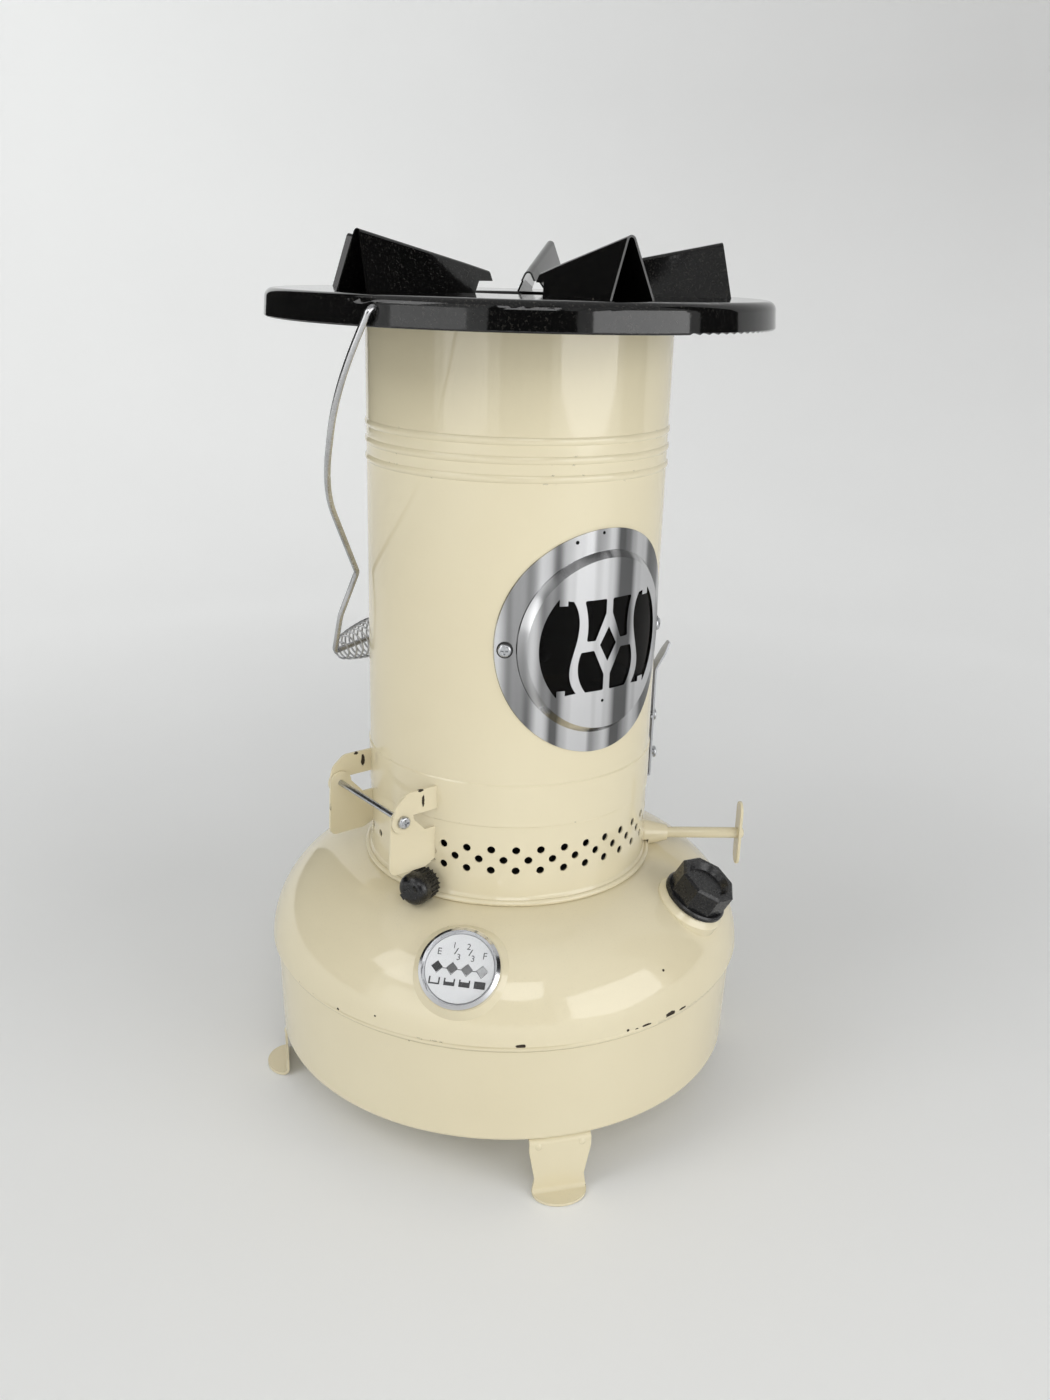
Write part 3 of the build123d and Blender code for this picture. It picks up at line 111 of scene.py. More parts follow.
def mixColour(tree, place, factor, first, second, blend="MIX"):
    made = addNode(tree, "ShaderNodeMix", place, data_type="RGBA", blend_type=blend)
    for socket, value in ((made.inputs[0], factor), (made.inputs[6], first), (made.inputs[7], second)):
        if isinstance(value, (int, float, tuple)):
            socket.default_value = value
        else:
            tree.links.new(value, socket)
    return made.outputs[2]


def noiseNode(tree, place, vector, scale, detail=2.0, rough=0.5):
    made = addNode(tree, "ShaderNodeTexNoise", place)
    tree.links.new(vector, made.inputs["Vector"])
    if isinstance(scale, (int, float)):
        made.inputs["Scale"].default_value = scale
    else:
        tree.links.new(scale, made.inputs["Scale"])
    made.inputs["Detail"].default_value = detail
    made.inputs["Roughness"].default_value = rough
    return made.outputs["Fac"]


# orange peel and slow waviness of a sprayed and baked coat
def makePeelGroup():
    group, entry, leave = newGroup("bakedPeel", [
        ("Peel Scale", "NodeSocketFloat", 560.0), ("Peel", "NodeSocketFloat", 0.6),
        ("Sag", "NodeSocketFloat", 0.4)], [("Height", "NodeSocketFloat"), ("Tone", "NodeSocketFloat")])
    coords = addNode(group, "ShaderNodeTexCoord", (-1200, -300))
    fine = noiseNode(group, (-900, 100), coords.outputs["Object"], entry.outputs["Peel Scale"], 1.0)
    slow = noiseNode(group, (-900, -150), coords.outputs["Object"], 28.0, 2.0)
    tone = noiseNode(group, (-900, -400), coords.outputs["Object"], 7.0, 3.0)
    finePart = mathNode(group, "MULTIPLY", (-600, 100), fine, entry.outputs["Peel"])
    slowPart = mathNode(group, "MULTIPLY", (-600, -150), slow, entry.outputs["Sag"])
    both = mathNode(group, "ADD", (-350, 0), finePart, slowPart)
    group.links.new(both, leave.inputs["Height"])
    group.links.new(tone, leave.inputs["Tone"])
    return group


# wear where two faces meet, broken up by noise
def makeWearGroup():
    group, entry, leave = newGroup("edgeWear", [
        ("Radius", "NodeSocketFloat", 0.0012), ("Amount", "NodeSocketFloat", 0.5),
        ("Scale", "NodeSocketFloat", 160.0)], [("Mask", "NodeSocketFloat")])
    coords = addNode(group, "ShaderNodeTexCoord", (-1200, -300))
    rounded = addNode(group, "ShaderNodeBevel", (-1000, 200), samples=4)
    group.links.new(entry.outputs["Radius"], rounded.inputs["Radius"])
    plain = addNode(group, "ShaderNodeNewGeometry", (-1000, 0))
    same = addNode(group, "ShaderNodeVectorMath", (-800, 100), operation="DOT_PRODUCT")
    group.links.new(rounded.outputs[0], same.inputs[0])
    group.links.new(plain.outputs["Normal"], same.inputs[1])
    edge = rangeNode(group, (-600, 100), same.outputs["Value"], 0.99, 0.93)
    rough = noiseNode(group, (-900, -300), coords.outputs["Object"], entry.outputs["Scale"], 4.0, 0.65)
    patchy = noiseNode(group, (-900, -500), coords.outputs["Object"], 38.0, 2.0)
    cluster = rangeNode(group, (-600, -500), patchy, 0.45, 0.62, 0.8, 1.15)
    ragged = mathNode(group, "MULTIPLY", (-500, 0), edge, rough)
    broken = mathNode(group, "MULTIPLY", (-350, 0), ragged, cluster)
    low = mathNode(group, "MULTIPLY_ADD", (-350, -200), entry.outputs["Amount"], -0.3, 0.76)
    high = mathNode(group, "ADD", (-200, -200), low, 0.03)
    group.links.new(rangeNode(group, (0, 0), broken, low, high), leave.inputs["Mask"])
    return group


# one chipped spot round a point, ragged at its edge
def makeChipGroup():
    group, entry, leave = newGroup("chipSpot", [
        ("Centre", "NodeSocketVector", None), ("Reach", "NodeSocketVector", None),
        ("Ragged", "NodeSocketFloat", 0.7)], [("Mask", "NodeSocketFloat")])
    coords = addNode(group, "ShaderNodeTexCoord", (-1200, -300))
    away = addNode(group, "ShaderNodeVectorMath", (-950, 100), operation="SUBTRACT")
    group.links.new(coords.outputs["Object"], away.inputs[0])
    group.links.new(entry.outputs["Centre"], away.inputs[1])
    share = addNode(group, "ShaderNodeVectorMath", (-750, 100), operation="DIVIDE")
    group.links.new(away.outputs[0], share.inputs[0])
    group.links.new(entry.outputs["Reach"], share.inputs[1])
    size = addNode(group, "ShaderNodeVectorMath", (-550, 100), operation="LENGTH")
    group.links.new(share.outputs[0], size.inputs[0])
    rough = noiseNode(group, (-900, -200), coords.outputs["Object"], 420.0, 3.0, 0.7)
    spread = mathNode(group, "MULTIPLY_ADD", (-550, -150), rough, entry.outputs["Ragged"], 0.0)
    total = mathNode(group, "ADD", (-300, 0), size.outputs["Value"], spread)
    group.links.new(rangeNode(group, (-50, 0), total, 1.0, 0.93), leave.inputs["Mask"])
    return group


# drawn or brushed lines along one direction, with wide bands along them that darken the metals' colour:
# random tone on most metals, painted reflection bands on the guard
def makeBrushGroup():
    group, entry, leave = newGroup("brushedLines", [("Stretch", "NodeSocketVector", None)],
                                   [("Height", "NodeSocketFloat"), ("Bands", "NodeSocketFloat")])
    coords = addNode(group, "ShaderNodeTexCoord", (-1200, 0))
    drawn = addNode(group, "ShaderNodeVectorMath", (-950, 0), operation="MULTIPLY")
    group.links.new(coords.outputs["Object"], drawn.inputs[0])
    group.links.new(entry.outputs["Stretch"], drawn.inputs[1])
    fine = noiseNode(group, (-700, 100), drawn.outputs[0], 1.0, 3.0, 0.7)
    wide = noiseNode(group, (-700, -150), drawn.outputs[0], 0.1, 1.0)
    group.links.new(fine, leave.inputs["Height"])
    group.links.new(wide, leave.inputs["Bands"])
    return group


# settled dust, more on faces that look up
def makeDustGroup():
    group, entry, leave = newGroup("settledDust", [("Amount", "NodeSocketFloat", 0.2)],
                                   [("Mask", "NodeSocketFloat")])
    coords = addNode(group, "ShaderNodeTexCoord", (-1200, 0))
    geometry = addNode(group, "ShaderNodeNewGeometry", (-1200, -250))
    split = addNode(group, "ShaderNodeSeparateXYZ", (-1000, -250))
    group.links.new(geometry.outputs["Normal"], split.inputs[0])
    up = rangeNode(group, (-800, -250), split.outputs["Z"], -0.1, 1.0, 0.25, 1.0)
    specks = noiseNode(group, (-900, 100), coords.outputs["Object"], 900.0, 2.0, 0.8)
    cloud = noiseNode(group, (-900, -50), coords.outputs["Object"], 45.0, 3.0)
    grains = rangeNode(group, (-650, 100), specks, 0.56, 0.72)
    soft = mathNode(group, "MULTIPLY", (-450, 0), grains, cloud)
    facing = mathNode(group, "MULTIPLY", (-250, 0), soft, up)
    dust = mathNode(group, "MULTIPLY", (0, 0), facing, entry.outputs["Amount"])
    group.links.new(dust, leave.inputs["Mask"])
    return group


peelGroup, wearGroup, chipGroup = makePeelGroup(), makeWearGroup(), makeChipGroup()
brushGroup, dustGroup = makeBrushGroup(), makeDustGroup()


def newMaterial(name, **constants):
    material = bpy.data.materials.new(name)
    material.use_nodes = True
    tree = material.node_tree
    shader = tree.nodes["Principled BSDF"]
    for label, value in constants.items():
        shader.inputs[label].default_value = value
    return material, tree, shader


def useGroup(tree, group, place, **values):
    made = addNode(tree, "ShaderNodeGroup", place)
    made.node_tree = group
    for label, value in values.items():
        socket = made.inputs[label.replace("_", " ")]
        if isinstance(value, bpy.types.NodeSocket):
            tree.links.new(value, socket)
        else:
            socket.default_value = value
    return made


def bumpNode(tree, shader, height, strength, distance):
    made = addNode(tree, "ShaderNodeBump", (-300, -400))
    made.inputs["Strength"].default_value = strength
    made.inputs["Distance"].default_value = distance
    tree.links.new(height, made.inputs["Height"])
    tree.links.new(made.outputs[0], shader.inputs["Normal"])


# enamels

creamEnamel = {"coat": toLinear(224, 214, 184), "shade": toLinear(219, 208, 177),
               "under": (0.028, 0.018, 0.009, 1), "rough": 0.07, "peel": 0.55, "sag": 1.2, "bump": 0.00003}
blackEnamel = {"coat": (0.002, 0.002, 0.002, 1), "shade": (0.004, 0.004, 0.004, 1),
               "under": (0.10, 0.085, 0.07, 1), "rough": 0.06, "peel": 0.3, "sag": 1.2, "bump": 0.00002}
enamelWear = {"dust": 0.25, "dustColour": (0.45, 0.42, 0.36, 1), "chipDepth": -4.0, "chipRough": 0.85}

# centre, half width and half height of each chip in the tank's coat, in metres
tankChips = [(-0.0720, -0.1187, 0.0962, 0.0042, 0.0017), (-0.0173, -0.1378, 0.0964, 0.0012, 0.0011),
             (-0.0118, -0.1383, 0.0954, 0.0018, 0.0012), (-0.0055, -0.1387, 0.0958, 0.0046, 0.0015),
             (0.0118, -0.1384, 0.0962, 0.0056, 0.0028), (0.0212, -0.1373, 0.0960, 0.0046, 0.0011),
             (0.0115, -0.1302, 0.1188, 0.0013, 0.0012), (-0.1336, -0.0380, 0.0958, 0.0016, 0.0014),
             (-0.1240, -0.0609, 0.1010, 0.0010, 0.0009), (0.0950, 0.1000, 0.0950, 0.0040, 0.0016),
             (-0.0600, 0.1240, 0.0960, 0.0050, 0.0018)]

# the coat has gone from the hinge's lugs where they are bent out of the sheet
hingeChips = [(-0.0808, -0.0368, 0.2035, 0.0016, 0.0062), (-0.0822, -0.0368, 0.2095, 0.0030, 0.0011),
              (-0.0812, 0.0283, 0.2040, 0.0020, 0.0058), (-0.0856, 0.0283, 0.2092, 0.0022, 0.0014),
              (-0.0790, -0.0352, 0.1930, 0.0012, 0.0045)]


def enamelMaterial(name, settings, chips=(), edge=0.35):
    material, tree, shader = newMaterial(name, Roughness=settings["rough"])
    peel = useGroup(tree, peelGroup, (-900, 0), Peel=settings["peel"], Sag=settings["sag"])
    wear = useGroup(tree, wearGroup, (-900, -250), Amount=edge)
    mask = wear.outputs["Mask"]
    for i, (x, y, z, wide, high) in enumerate(chips):
        spot = useGroup(tree, chipGroup, (-900, -500 - 200 * i), Centre=(x, y, z), Reach=(wide, wide, high))
        mask = mathNode(tree, "MAXIMUM", (-600, -500 - 200 * i), mask, spot.outputs["Mask"])
    tone = rangeNode(tree, (-650, 200), peel.outputs["Tone"], 0.35, 0.65)
    base = mixColour(tree, (-400, 200), tone, settings["coat"], settings["shade"])
    dust = useGroup(tree, dustGroup, (-900, 350), Amount=enamelWear["dust"])
    dusty = mixColour(tree, (-300, 350), dust.outputs["Mask"], base, enamelWear["dustColour"])
    chipped = mixColour(tree, (-150, 200), mask, dusty, settings["under"])
    rough = rangeNode(tree, (-150, 0), mask, 0.0, 1.0, settings["rough"], enamelWear["chipRough"])
    deep = mathNode(tree, "MULTIPLY", (-600, -300), mask, enamelWear["chipDepth"])
    height = mathNode(tree, "ADD", (-450, -300), peel.outputs["Height"], deep)
    tree.links.new(chipped, shader.inputs["Base Color"])
    tree.links.new(rough, shader.inputs["Roughness"])
    bumpNode(tree, shader, height, 1.0, settings["bump"])
    return material


creamCoat = enamelMaterial("creamEnamel", creamEnamel)
tankCoat = enamelMaterial("creamEnamelTank", creamEnamel, tankChips, 0.3)
hingeCoat = enamelMaterial("creamEnamelHinge", creamEnamel, hingeChips, 0.55)
blackCoat = enamelMaterial("blackEnamel", blackEnamel, edge=0.28)
print("enamels made")


# metals

# pinholes in the guard: place and reach in metres
guardPits = [((-0.0030, -0.082, 0.3465), 0.0010), ((-0.0180, -0.082, 0.3426), 0.0012),
             ((-0.0020, -0.084, 0.2595), 0.0010)]
pit = {"colour": (0.01, 0.01, 0.01, 1), "depth": 0.01, "ragged": 0.2}


def metalMaterial(name, colour, rough, spread, stretch, bump, edge=0.0, under=(0.2, 0.2, 0.2, 1), toneAndReflectionBand=0.82,
                  pits=()):
    material, tree, shader = newMaterial(name, Metallic=1.0)
    lines = useGroup(tree, brushGroup, (-900, 0), Stretch=stretch)
    # the bands darken the colour: a little random tone on most metals, and on the guard dark painted
    # reflection bands
    darker = tuple(v * toneAndReflectionBand for v in colour[:3]) + (1,)
    bands = rangeNode(tree, (-650, 200), lines.outputs["Bands"], 0.38, 0.62)
    tone = mixColour(tree, (-400, 200), bands, colour, darker)
    if edge:
        wear = useGroup(tree, wearGroup, (-900, -300), Amount=edge, Radius=0.0006)
        tone = mixColour(tree, (-200, 200), wear.outputs["Mask"], tone, under)
    for i, (place, reach) in enumerate(pits):
        spot = useGroup(tree, chipGroup, (-900, -600 - 200 * i), Centre=place,
                        Reach=(reach, pit["depth"], reach), Ragged=pit["ragged"])
        tone = mixColour(tree, (-100, 400 + 200 * i), spot.outputs["Mask"], tone, pit["colour"])
    shine = rangeNode(tree, (-400, 0), lines.outputs["Height"], 0.2, 0.8, rough, rough + spread)
    tree.links.new(tone, shader.inputs["Base Color"])
    tree.links.new(shine, shader.inputs["Roughness"])
    bumpNode(tree, shader, lines.outputs["Height"], 0.5, bump)
    return material


# the guard's low base colour and its deep dark bands are painted reflection
guardAluminium = metalMaterial("brushedAluminiumReflectionBands", (0.60, 0.60, 0.61, 1), rough=0.11, spread=0.12,
                               stretch=(900, 900, 12), bump=0.00002, toneAndReflectionBand=0.2, pits=guardPits)
platedSteel = metalMaterial("platedSteel", (0.60, 0.61, 0.63, 1), rough=0.22, spread=0.15,
                            stretch=(700, 700, 700), bump=0.00004, edge=0.3)
zincTab = metalMaterial("zincTab", (0.56, 0.57, 0.60, 1), rough=0.34, spread=0.15,
                        stretch=(500, 500, 120), bump=0.00005, edge=0.3)
drawnWire = metalMaterial("drawnWire", (0.55, 0.55, 0.56, 1), rough=0.2, spread=0.12,
                          stretch=(900, 900, 160), bump=0.00005)
coilWire = metalMaterial("coilWire", (0.50, 0.50, 0.51, 1), rough=0.24, spread=0.12,
                         stretch=(800, 800, 800), bump=0.00003)
chromeRing = metalMaterial("chromeRing", (0.78, 0.78, 0.80, 1), rough=0.1, spread=0.08,
                           stretch=(300, 300, 300), bump=0.00002)
yellowBrass = metalMaterial("yellowBrass", (0.72, 0.52, 0.22, 1), rough=0.25, spread=0.15,
                            stretch=(600, 600, 200), bump=0.00004)
burnerSteel = metalMaterial("burnerSteel", (0.20, 0.19, 0.185, 1), rough=0.42, spread=0.25,
                            stretch=(260, 260, 260), bump=0.00008, edge=0.35, under=(0.12, 0.06, 0.035, 1))
print("metals made")


# other finishes

plainDust = {"amount": 0.35, "colour": (0.3, 0.28, 0.25, 1)}


def plainMaterial(name, colour, rough, grain, bump, darker=0.8, edge=0.0, under=(0.3, 0.3, 0.3, 1)):
    material, tree, shader = newMaterial(name)
    coords = addNode(tree, "ShaderNodeTexCoord", (-1200, 0))
    fine = noiseNode(tree, (-900, 0), coords.outputs["Object"], grain, 3.0, 0.6)
    slow = noiseNode(tree, (-900, 250), coords.outputs["Object"], grain / 12, 2.0)
    dark = tuple(v * darker for v in colour[:3]) + (1,)
    tone = mixColour(tree, (-400, 250), rangeNode(tree, (-650, 250), slow, 0.3, 0.7), colour, dark)
    dust = useGroup(tree, dustGroup, (-900, 500), Amount=plainDust["amount"])
    tone = mixColour(tree, (-250, 350), dust.outputs["Mask"], tone, plainDust["colour"])
    if edge:
        wear = useGroup(tree, wearGroup, (-900, -300), Amount=edge, Radius=0.0005, Scale=300.0)
        tone = mixColour(tree, (-150, 200), wear.outputs["Mask"], tone, under)
    shine = rangeNode(tree, (-400, 0), fine, 0.3, 0.7, rough, rough + 0.15)
    tree.links.new(tone, shader.inputs["Base Color"])
    tree.links.new(shine, shader.inputs["Roughness"])
    bumpNode(tree, shader, fine, 0.5, bump)
    return material


blackPlastic = plainMaterial("blackPlastic", (0.004, 0.004, 0.005, 1), rough=0.22, grain=700, bump=0.00003,
                             edge=0.2, under=(0.03, 0.03, 0.03, 1))
sealRubber = plainMaterial("sealRubber", (0.02, 0.02, 0.02, 1), rough=0.6, grain=500, bump=0.0001)
wickCotton = plainMaterial("wickCotton", (0.62, 0.58, 0.50, 1), rough=0.85, grain=900, bump=0.0003)
corkFloat = plainMaterial("corkFloat", (0.42, 0.25, 0.13, 1), rough=0.75, grain=350, bump=0.0003,
                          darker=0.55)
dialPaint = plainMaterial("dialPaint", (0.70, 0.70, 0.71, 1), rough=0.35, grain=300, bump=0.00002,
                          darker=0.94)
dialInk = plainMaterial("dialInk", (0.012, 0.012, 0.014, 1), rough=0.45, grain=400, bump=0.00002)


# clear sheet: light passes it without a shadow
def clearMaterial(name, tint, rough, bend=1.45):
    material, tree, shader = newMaterial(name, Roughness=rough, IOR=bend)
    shader.inputs["Base Color"].default_value = tint
    shader.inputs["Transmission Weight"].default_value = 1.0
    path = addNode(tree, "ShaderNodeLightPath", (-700, 300))
    lit = mathNode(tree, "SUBTRACT", (-400, 300), 1.0, path.outputs["Is Shadow Ray"])
    tree.links.new(lit, shader.inputs["Alpha"])
    coords = addNode(tree, "ShaderNodeTexCoord", (-900, 0))
    waves = noiseNode(tree, (-700, 0), coords.outputs["Object"], 60.0, 2.0)
    bumpNode(tree, shader, waves, 0.2, 0.00005)
    return material


lensGlass = clearMaterial("lensClear", (0.97, 0.98, 0.98, 1), rough=0.02)
# the mica is tinted near black: partly its own smoky colour, partly painted shade standing for the dark
# inside of the heater behind it
smokyMicaAndShade = clearMaterial("smokyMicaAndShade", (0.05, 0.035, 0.02, 1), rough=0.08, bend=1.16)
print("other finishes made")


# dark gaskets under the heads of the guard's screws

screwRing = {"inner": 0.0024, "outer": 0.0042, "shank": 0.0022, "thick": 0.0006, "steps": 40}


def bridgeRings(build, rings):
    for low, high in rings:
        count = len(low)
        for i in range(count):
            build.faces.new([low[i], low[(i + 1) % count], high[(i + 1) % count], high[i]])
    bmesh.ops.recalc_face_normals(build, faces=build.faces)


def makeScrewRing(name, side):
    inner, outer, thick, steps = (screwRing[key] for key in ("inner", "outer", "thick", "steps"))
    screws = nodes["window_screws"]
    corners = [screws.matrix_world @ v.co for v in screws.data.vertices]
    corners = [v for v in corners if v.x * side > 0]
    centre = sum(corners, Vector()) / len(corners)
    out = Vector((centre.x, centre.y, 0)).normalized()
    across = Vector((0, 0, 1)).cross(out)
    head = [v for v in corners if math.hypot(v.dot(across), v.z - centre.z) > screwRing["shank"]]
    base = out * min(v.dot(out) for v in head) + Vector((0, 0, centre.z))
    build = bmesh.new()
    turns = [2 * math.pi * i / steps for i in range(steps)]
    rings = [[build.verts.new(base + out * depth + across * radius * math.cos(turn)
                              + Vector((0, 0, radius * math.sin(turn)))) for turn in turns]
             for radius, depth in ((inner, 0), (outer, 0), (outer, thick), (inner, thick))]
    bridgeRings(build, list(zip(rings, rings[1:] + rings[:1])))
    mesh = bpy.data.meshes.new(name)
    build.to_mesh(mesh)
    build.free()
    mesh.materials.append(sealRubber)
    newObject(name, mesh, "drum")


for name, side in (("screw_ring_left", -1), ("screw_ring_right", 1)):
    makeScrewRing(name, side)


# print on the gauge's dial

# the gauge lies at this place on the tank's shoulder; sizes in metres, x and y from the dial's centre
gauge = {"azimuth": -45.8, "radius": 0.1224, "height": 0.1290, "tilt": 45.5, "face": 0.0013, "lift": 0.00004,
         "letterSize": 0.0050, "figureSize": 0.0046,
         "letters": [("dial_letter_empty", "E", -0.0118, 0.0077), ("dial_letter_full", "F", 0.0120, 0.0077)],
         "fractions": [("dial_third", "1", -0.0045), ("dial_two_thirds", "2", 0.0030)],
         "upper": 0.0116, "lowerShift": 0.0030, "lower": 0.0057,
         "bar": [(0.0004, 0.0072), (0.0009, 0.0070), (0.0024, 0.0104), (0.0019, 0.0106)],
         "icon": (0.0029, 0.0019, 0.0008), "iconHeight": -0.0074,
         "levels": [(-0.0120, 0.0), (-0.0041, 0.38), (0.0038, 0.62), (0.0117, 1.0)],
         "window": 0.0031, "pitch": 0.0079, "windows": 4, "line": 0.00038}


def gaugeMatrix(depth):
    rise = math.radians(gauge["tilt"])
    out, across = outward(gauge["azimuth"]), sideways(gauge["azimuth"])
    normal = out * math.cos(rise) + Vector((0, 0, 1)) * math.sin(rise)
    up = normal.cross(across)
    origin = out * gauge["radius"] + Vector((0, 0, gauge["height"])) + normal * depth
    return Matrix.Translation(origin) @ Matrix((across, up, normal)).transposed().to_4x4()


def dialFlat(name, outlines, ink, depth):
    mesh = bpy.data.meshes.new(name)
    build = bmesh.new()
    for outline in outlines:
        build.faces.new([build.verts.new((x, y, 0)) for x, y in outline])
    build.transform(gaugeMatrix(depth))
    build.to_mesh(mesh)
    build.free()
    mesh.materials.append(ink)
    newObject(name, mesh, "base")


def dialText(name, words, x, y, size, ink, depth):
    curve = bpy.data.curves.new(name, "FONT")
    curve.body, curve.size = words, size
    curve.align_x, curve.align_y = "CENTER", "CENTER"
    made = newObject(name + "_curve", curve)
    bpy.context.view_layer.update()
    mesh = bpy.data.meshes.new_from_object(made.evaluated_get(bpy.context.evaluated_depsgraph_get()))
    bpy.data.objects.remove(made)
    mesh.name = name
    mesh.transform(gaugeMatrix(depth) @ Matrix.Translation((x, y, 0)))
    mesh.materials.clear()
    mesh.materials.append(ink)
    newObject(name, mesh, "base")


dialTop = gauge["face"] + gauge["lift"]
for name, letter, x, y in gauge["letters"]:
    dialText(name, letter, x, y, gauge["letterSize"], dialInk, dialTop)
for name, digit, x in gauge["fractions"]:
    dialText(name + "_upper", digit, x, gauge["upper"], gauge["figureSize"], dialInk, dialTop)
    dialText(name + "_lower", "3", x + gauge["lowerShift"], gauge["lower"], gauge["figureSize"], dialInk,
             dialTop)
    dialFlat(name + "_bar", [[(x + shift, y) for shift, y in gauge["bar"]]], dialInk, dialTop)


# a small tank in outline, filled from its floor up to a share of its height
def tankIcon(x, share):
    wide, high, wall = gauge["icon"]
    y = gauge["iconHeight"]
    low = y - high + wall
    outlines = [[(x - wide, y - high), (x + wide, y - high), (x + wide, low), (x - wide, low)]]
    for side in (-1, 1):
        a, b = sorted((x + side * wide, x + side * (wide - wall)))
        outlines.append([(a, low), (b, low), (b, y + high), (a, y + high)])
    if share:
        top = low + (2 * high - wall) * share
        first, last = x - wide + wall, x + wide - wall
        outlines.append([(first, low), (last, low), (last, top), (first, top)])
    return outlines


# the line that links the four diamond windows along their lower edges
def linkLine():
    half, width, step = gauge["window"], gauge["line"], gauge["pitch"]
    points = []
    for i in range(gauge["windows"]):
        x = step * (i - (gauge["windows"] - 1) / 2)
        points += [(x - half + width, -width), (x, -half - width), (x + half - width, -width)]
    points = points[1:]
    strips = []
    for (ax, ay), (bx, by) in zip(points, points[1:]):
        strips.append([(ax, ay - width), (bx, by - width), (bx, by), (ax, ay)])
    return strips


dialFlat("dial_link_line", linkLine(), dialInk, dialTop + gauge["lift"])
marks = [outline for x, share in gauge["levels"] for outline in tankIcon(x, share)]
dialFlat("dial_level_marks", marks, dialInk, dialTop)


# the disc behind the dial's windows is printed from black to pale along its row
disc = {"stops": [(0.0, 0.006), (0.26, 0.10), (0.5, 0.17), (0.74, 0.42)], "reach": 0.0165, "blue": 1.02}


def discPrintMaterial():
    material, tree, shader = newMaterial("discPrint", Roughness=0.45)
    coords = addNode(tree, "ShaderNodeTexCoord", (-1100, 0))
    across = addNode(tree, "ShaderNodeVectorMath", (-900, 0), operation="DOT_PRODUCT")
    tree.links.new(coords.outputs["Object"], across.inputs[0])
    across.inputs[1].default_value = sideways(gauge["azimuth"])
    grain = noiseNode(tree, (-900, -250), coords.outputs["Object"], 900.0, 3.0)
    ramp = addNode(tree, "ShaderNodeValToRGB", (-600, 0))
    ramp.color_ramp.interpolation = "CONSTANT"
    while len(ramp.color_ramp.elements) < len(disc["stops"]):
        ramp.color_ramp.elements.new(0.5)
    for element, (place, grey) in zip(ramp.color_ramp.elements, disc["stops"]):
        element.position = place
        element.color = (grey, grey, grey * disc["blue"], 1)
    row = rangeNode(tree, (-750, 150), across.outputs["Value"], -disc["reach"], disc["reach"])
    tree.links.new(row, ramp.inputs[0])
    worn = rangeNode(tree, (-700, -250), grain, 0.3, 0.7, 0.85, 1.1)
    printed = mixColour(tree, (-300, 0), 1.0, ramp.outputs[0], worn, "MULTIPLY")
    tree.links.new(printed, shader.inputs["Base Color"])
    bumpNode(tree, shader, grain, 0.3, 0.00002)
    return material


discPrint = discPrintMaterial()
print("gauge printed")


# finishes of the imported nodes

finishes = {
    tankCoat: ["tank_lower_shell", "tank_upper_shell"],
    creamCoat: ["foot_front", "foot_left", "foot_right", "foot_rear", "gallery_ring", "winder_gland",
                "drum_shell", "filler_neck", "winder_key", "winder_rivet", "winder_spindle"],
    hingeCoat: ["hinge_bracket_lower", "hinge_bracket_upper"],
    blackCoat: ["top_plate", "pan_support_1", "pan_support_2", "pan_support_3", "pan_support_4",
                "pan_support_5"],
    guardAluminium: ["window_guard"],
    platedSteel: ["window_screws", "hinge_pin", "hinge_pin_screws", "latch_screws", "latch_spring",
                  "latch_boss", "lock_screw"],
    zincTab: ["latch_lever"],
    drawnWire: ["bail_wire"],
    coilWire: ["bail_grip"],
    burnerSteel: ["draught_tube", "outer_wick_tube", "burner_plate", "burner_deck", "flame_spreader",
                  "inner_chimney", "chimney_shelf", "flame_baffle", "wick_sleeve"],
    yellowBrass: ["winder_pinion", "gauge_stem", "float_arm"],
    wickCotton: ["wick"],
    corkFloat: ["float_ball"],
    smokyMicaAndShade: ["mica_window"],
    lensGlass: ["gauge_lens"],
    chromeRing: ["gauge_bezel"],
    dialPaint: ["gauge_dial"],
    discPrint: ["gauge_indicator"],
    blackPlastic: ["filler_cap", "lock_knob"],
    sealRubber: ["cap_gasket"],
}
for finish, names in finishes.items():
    for name in names:
        nodes[name].data.materials.clear()
        nodes[name].data.materials.append(finish)
leftOver = sorted(set(nodes) - {name for names in finishes.values() for name in names})
print("finishes given, left over:", leftOver)


# studio

# the camera's azimuth is measured from the window's side, those of lamps and cards from the camera
cameraAzimuth = -35.2
studio = {"wall": 2.1, "bend": 0.9, "top": 2.6, "steps": 64, "bendSteps": 12, "drop": 0.0004, "world": 0.45,
          "flags": {"azimuths": [(-150, -62), (-13, 23), (80, 105)], "radius": 1.72, "low": 0.17, "high": 2.4,
                    "steps": 8, "colour": (0.008, 0.008, 0.008, 1)}}
# the wall's darker colour is painted shade towards the right, and the glow is painted light that fades
# towards the right
paper = {"floor": (0.89, 0.895, 0.89, 1), "pale": (0.90, 0.91, 0.905, 1), "far": (0.64, 0.64, 0.635, 1),
         "glow": 0.24, "farGlow": 0.15, "halfWidth": 0.9, "wallFrom": 0.8, "glowFrom": 0.35, "glowTo": 1.1}
softboxes = {
    "right": {"azimuth": 52.0, "size": (1.4, 1.0), "distance": 1.7, "height": 0.62, "aim": 0.62, "power": 12},
    "left": {"azimuth": -38.0, "size": (1.0, 0.8), "distance": 1.7, "height": 0.5, "aim": 0.5, "power": 2.6},
    "key": {"azimuth": 6.0, "size": (0.8, 0.8), "distance": 1.55, "height": 1.35, "aim": 0.3, "power": 6.5},
    "fill": {"azimuth": -58.0, "size": (0.9, 0.9), "distance": 1.5, "height": 1.5, "aim": 0.3, "power": 6.5},
}


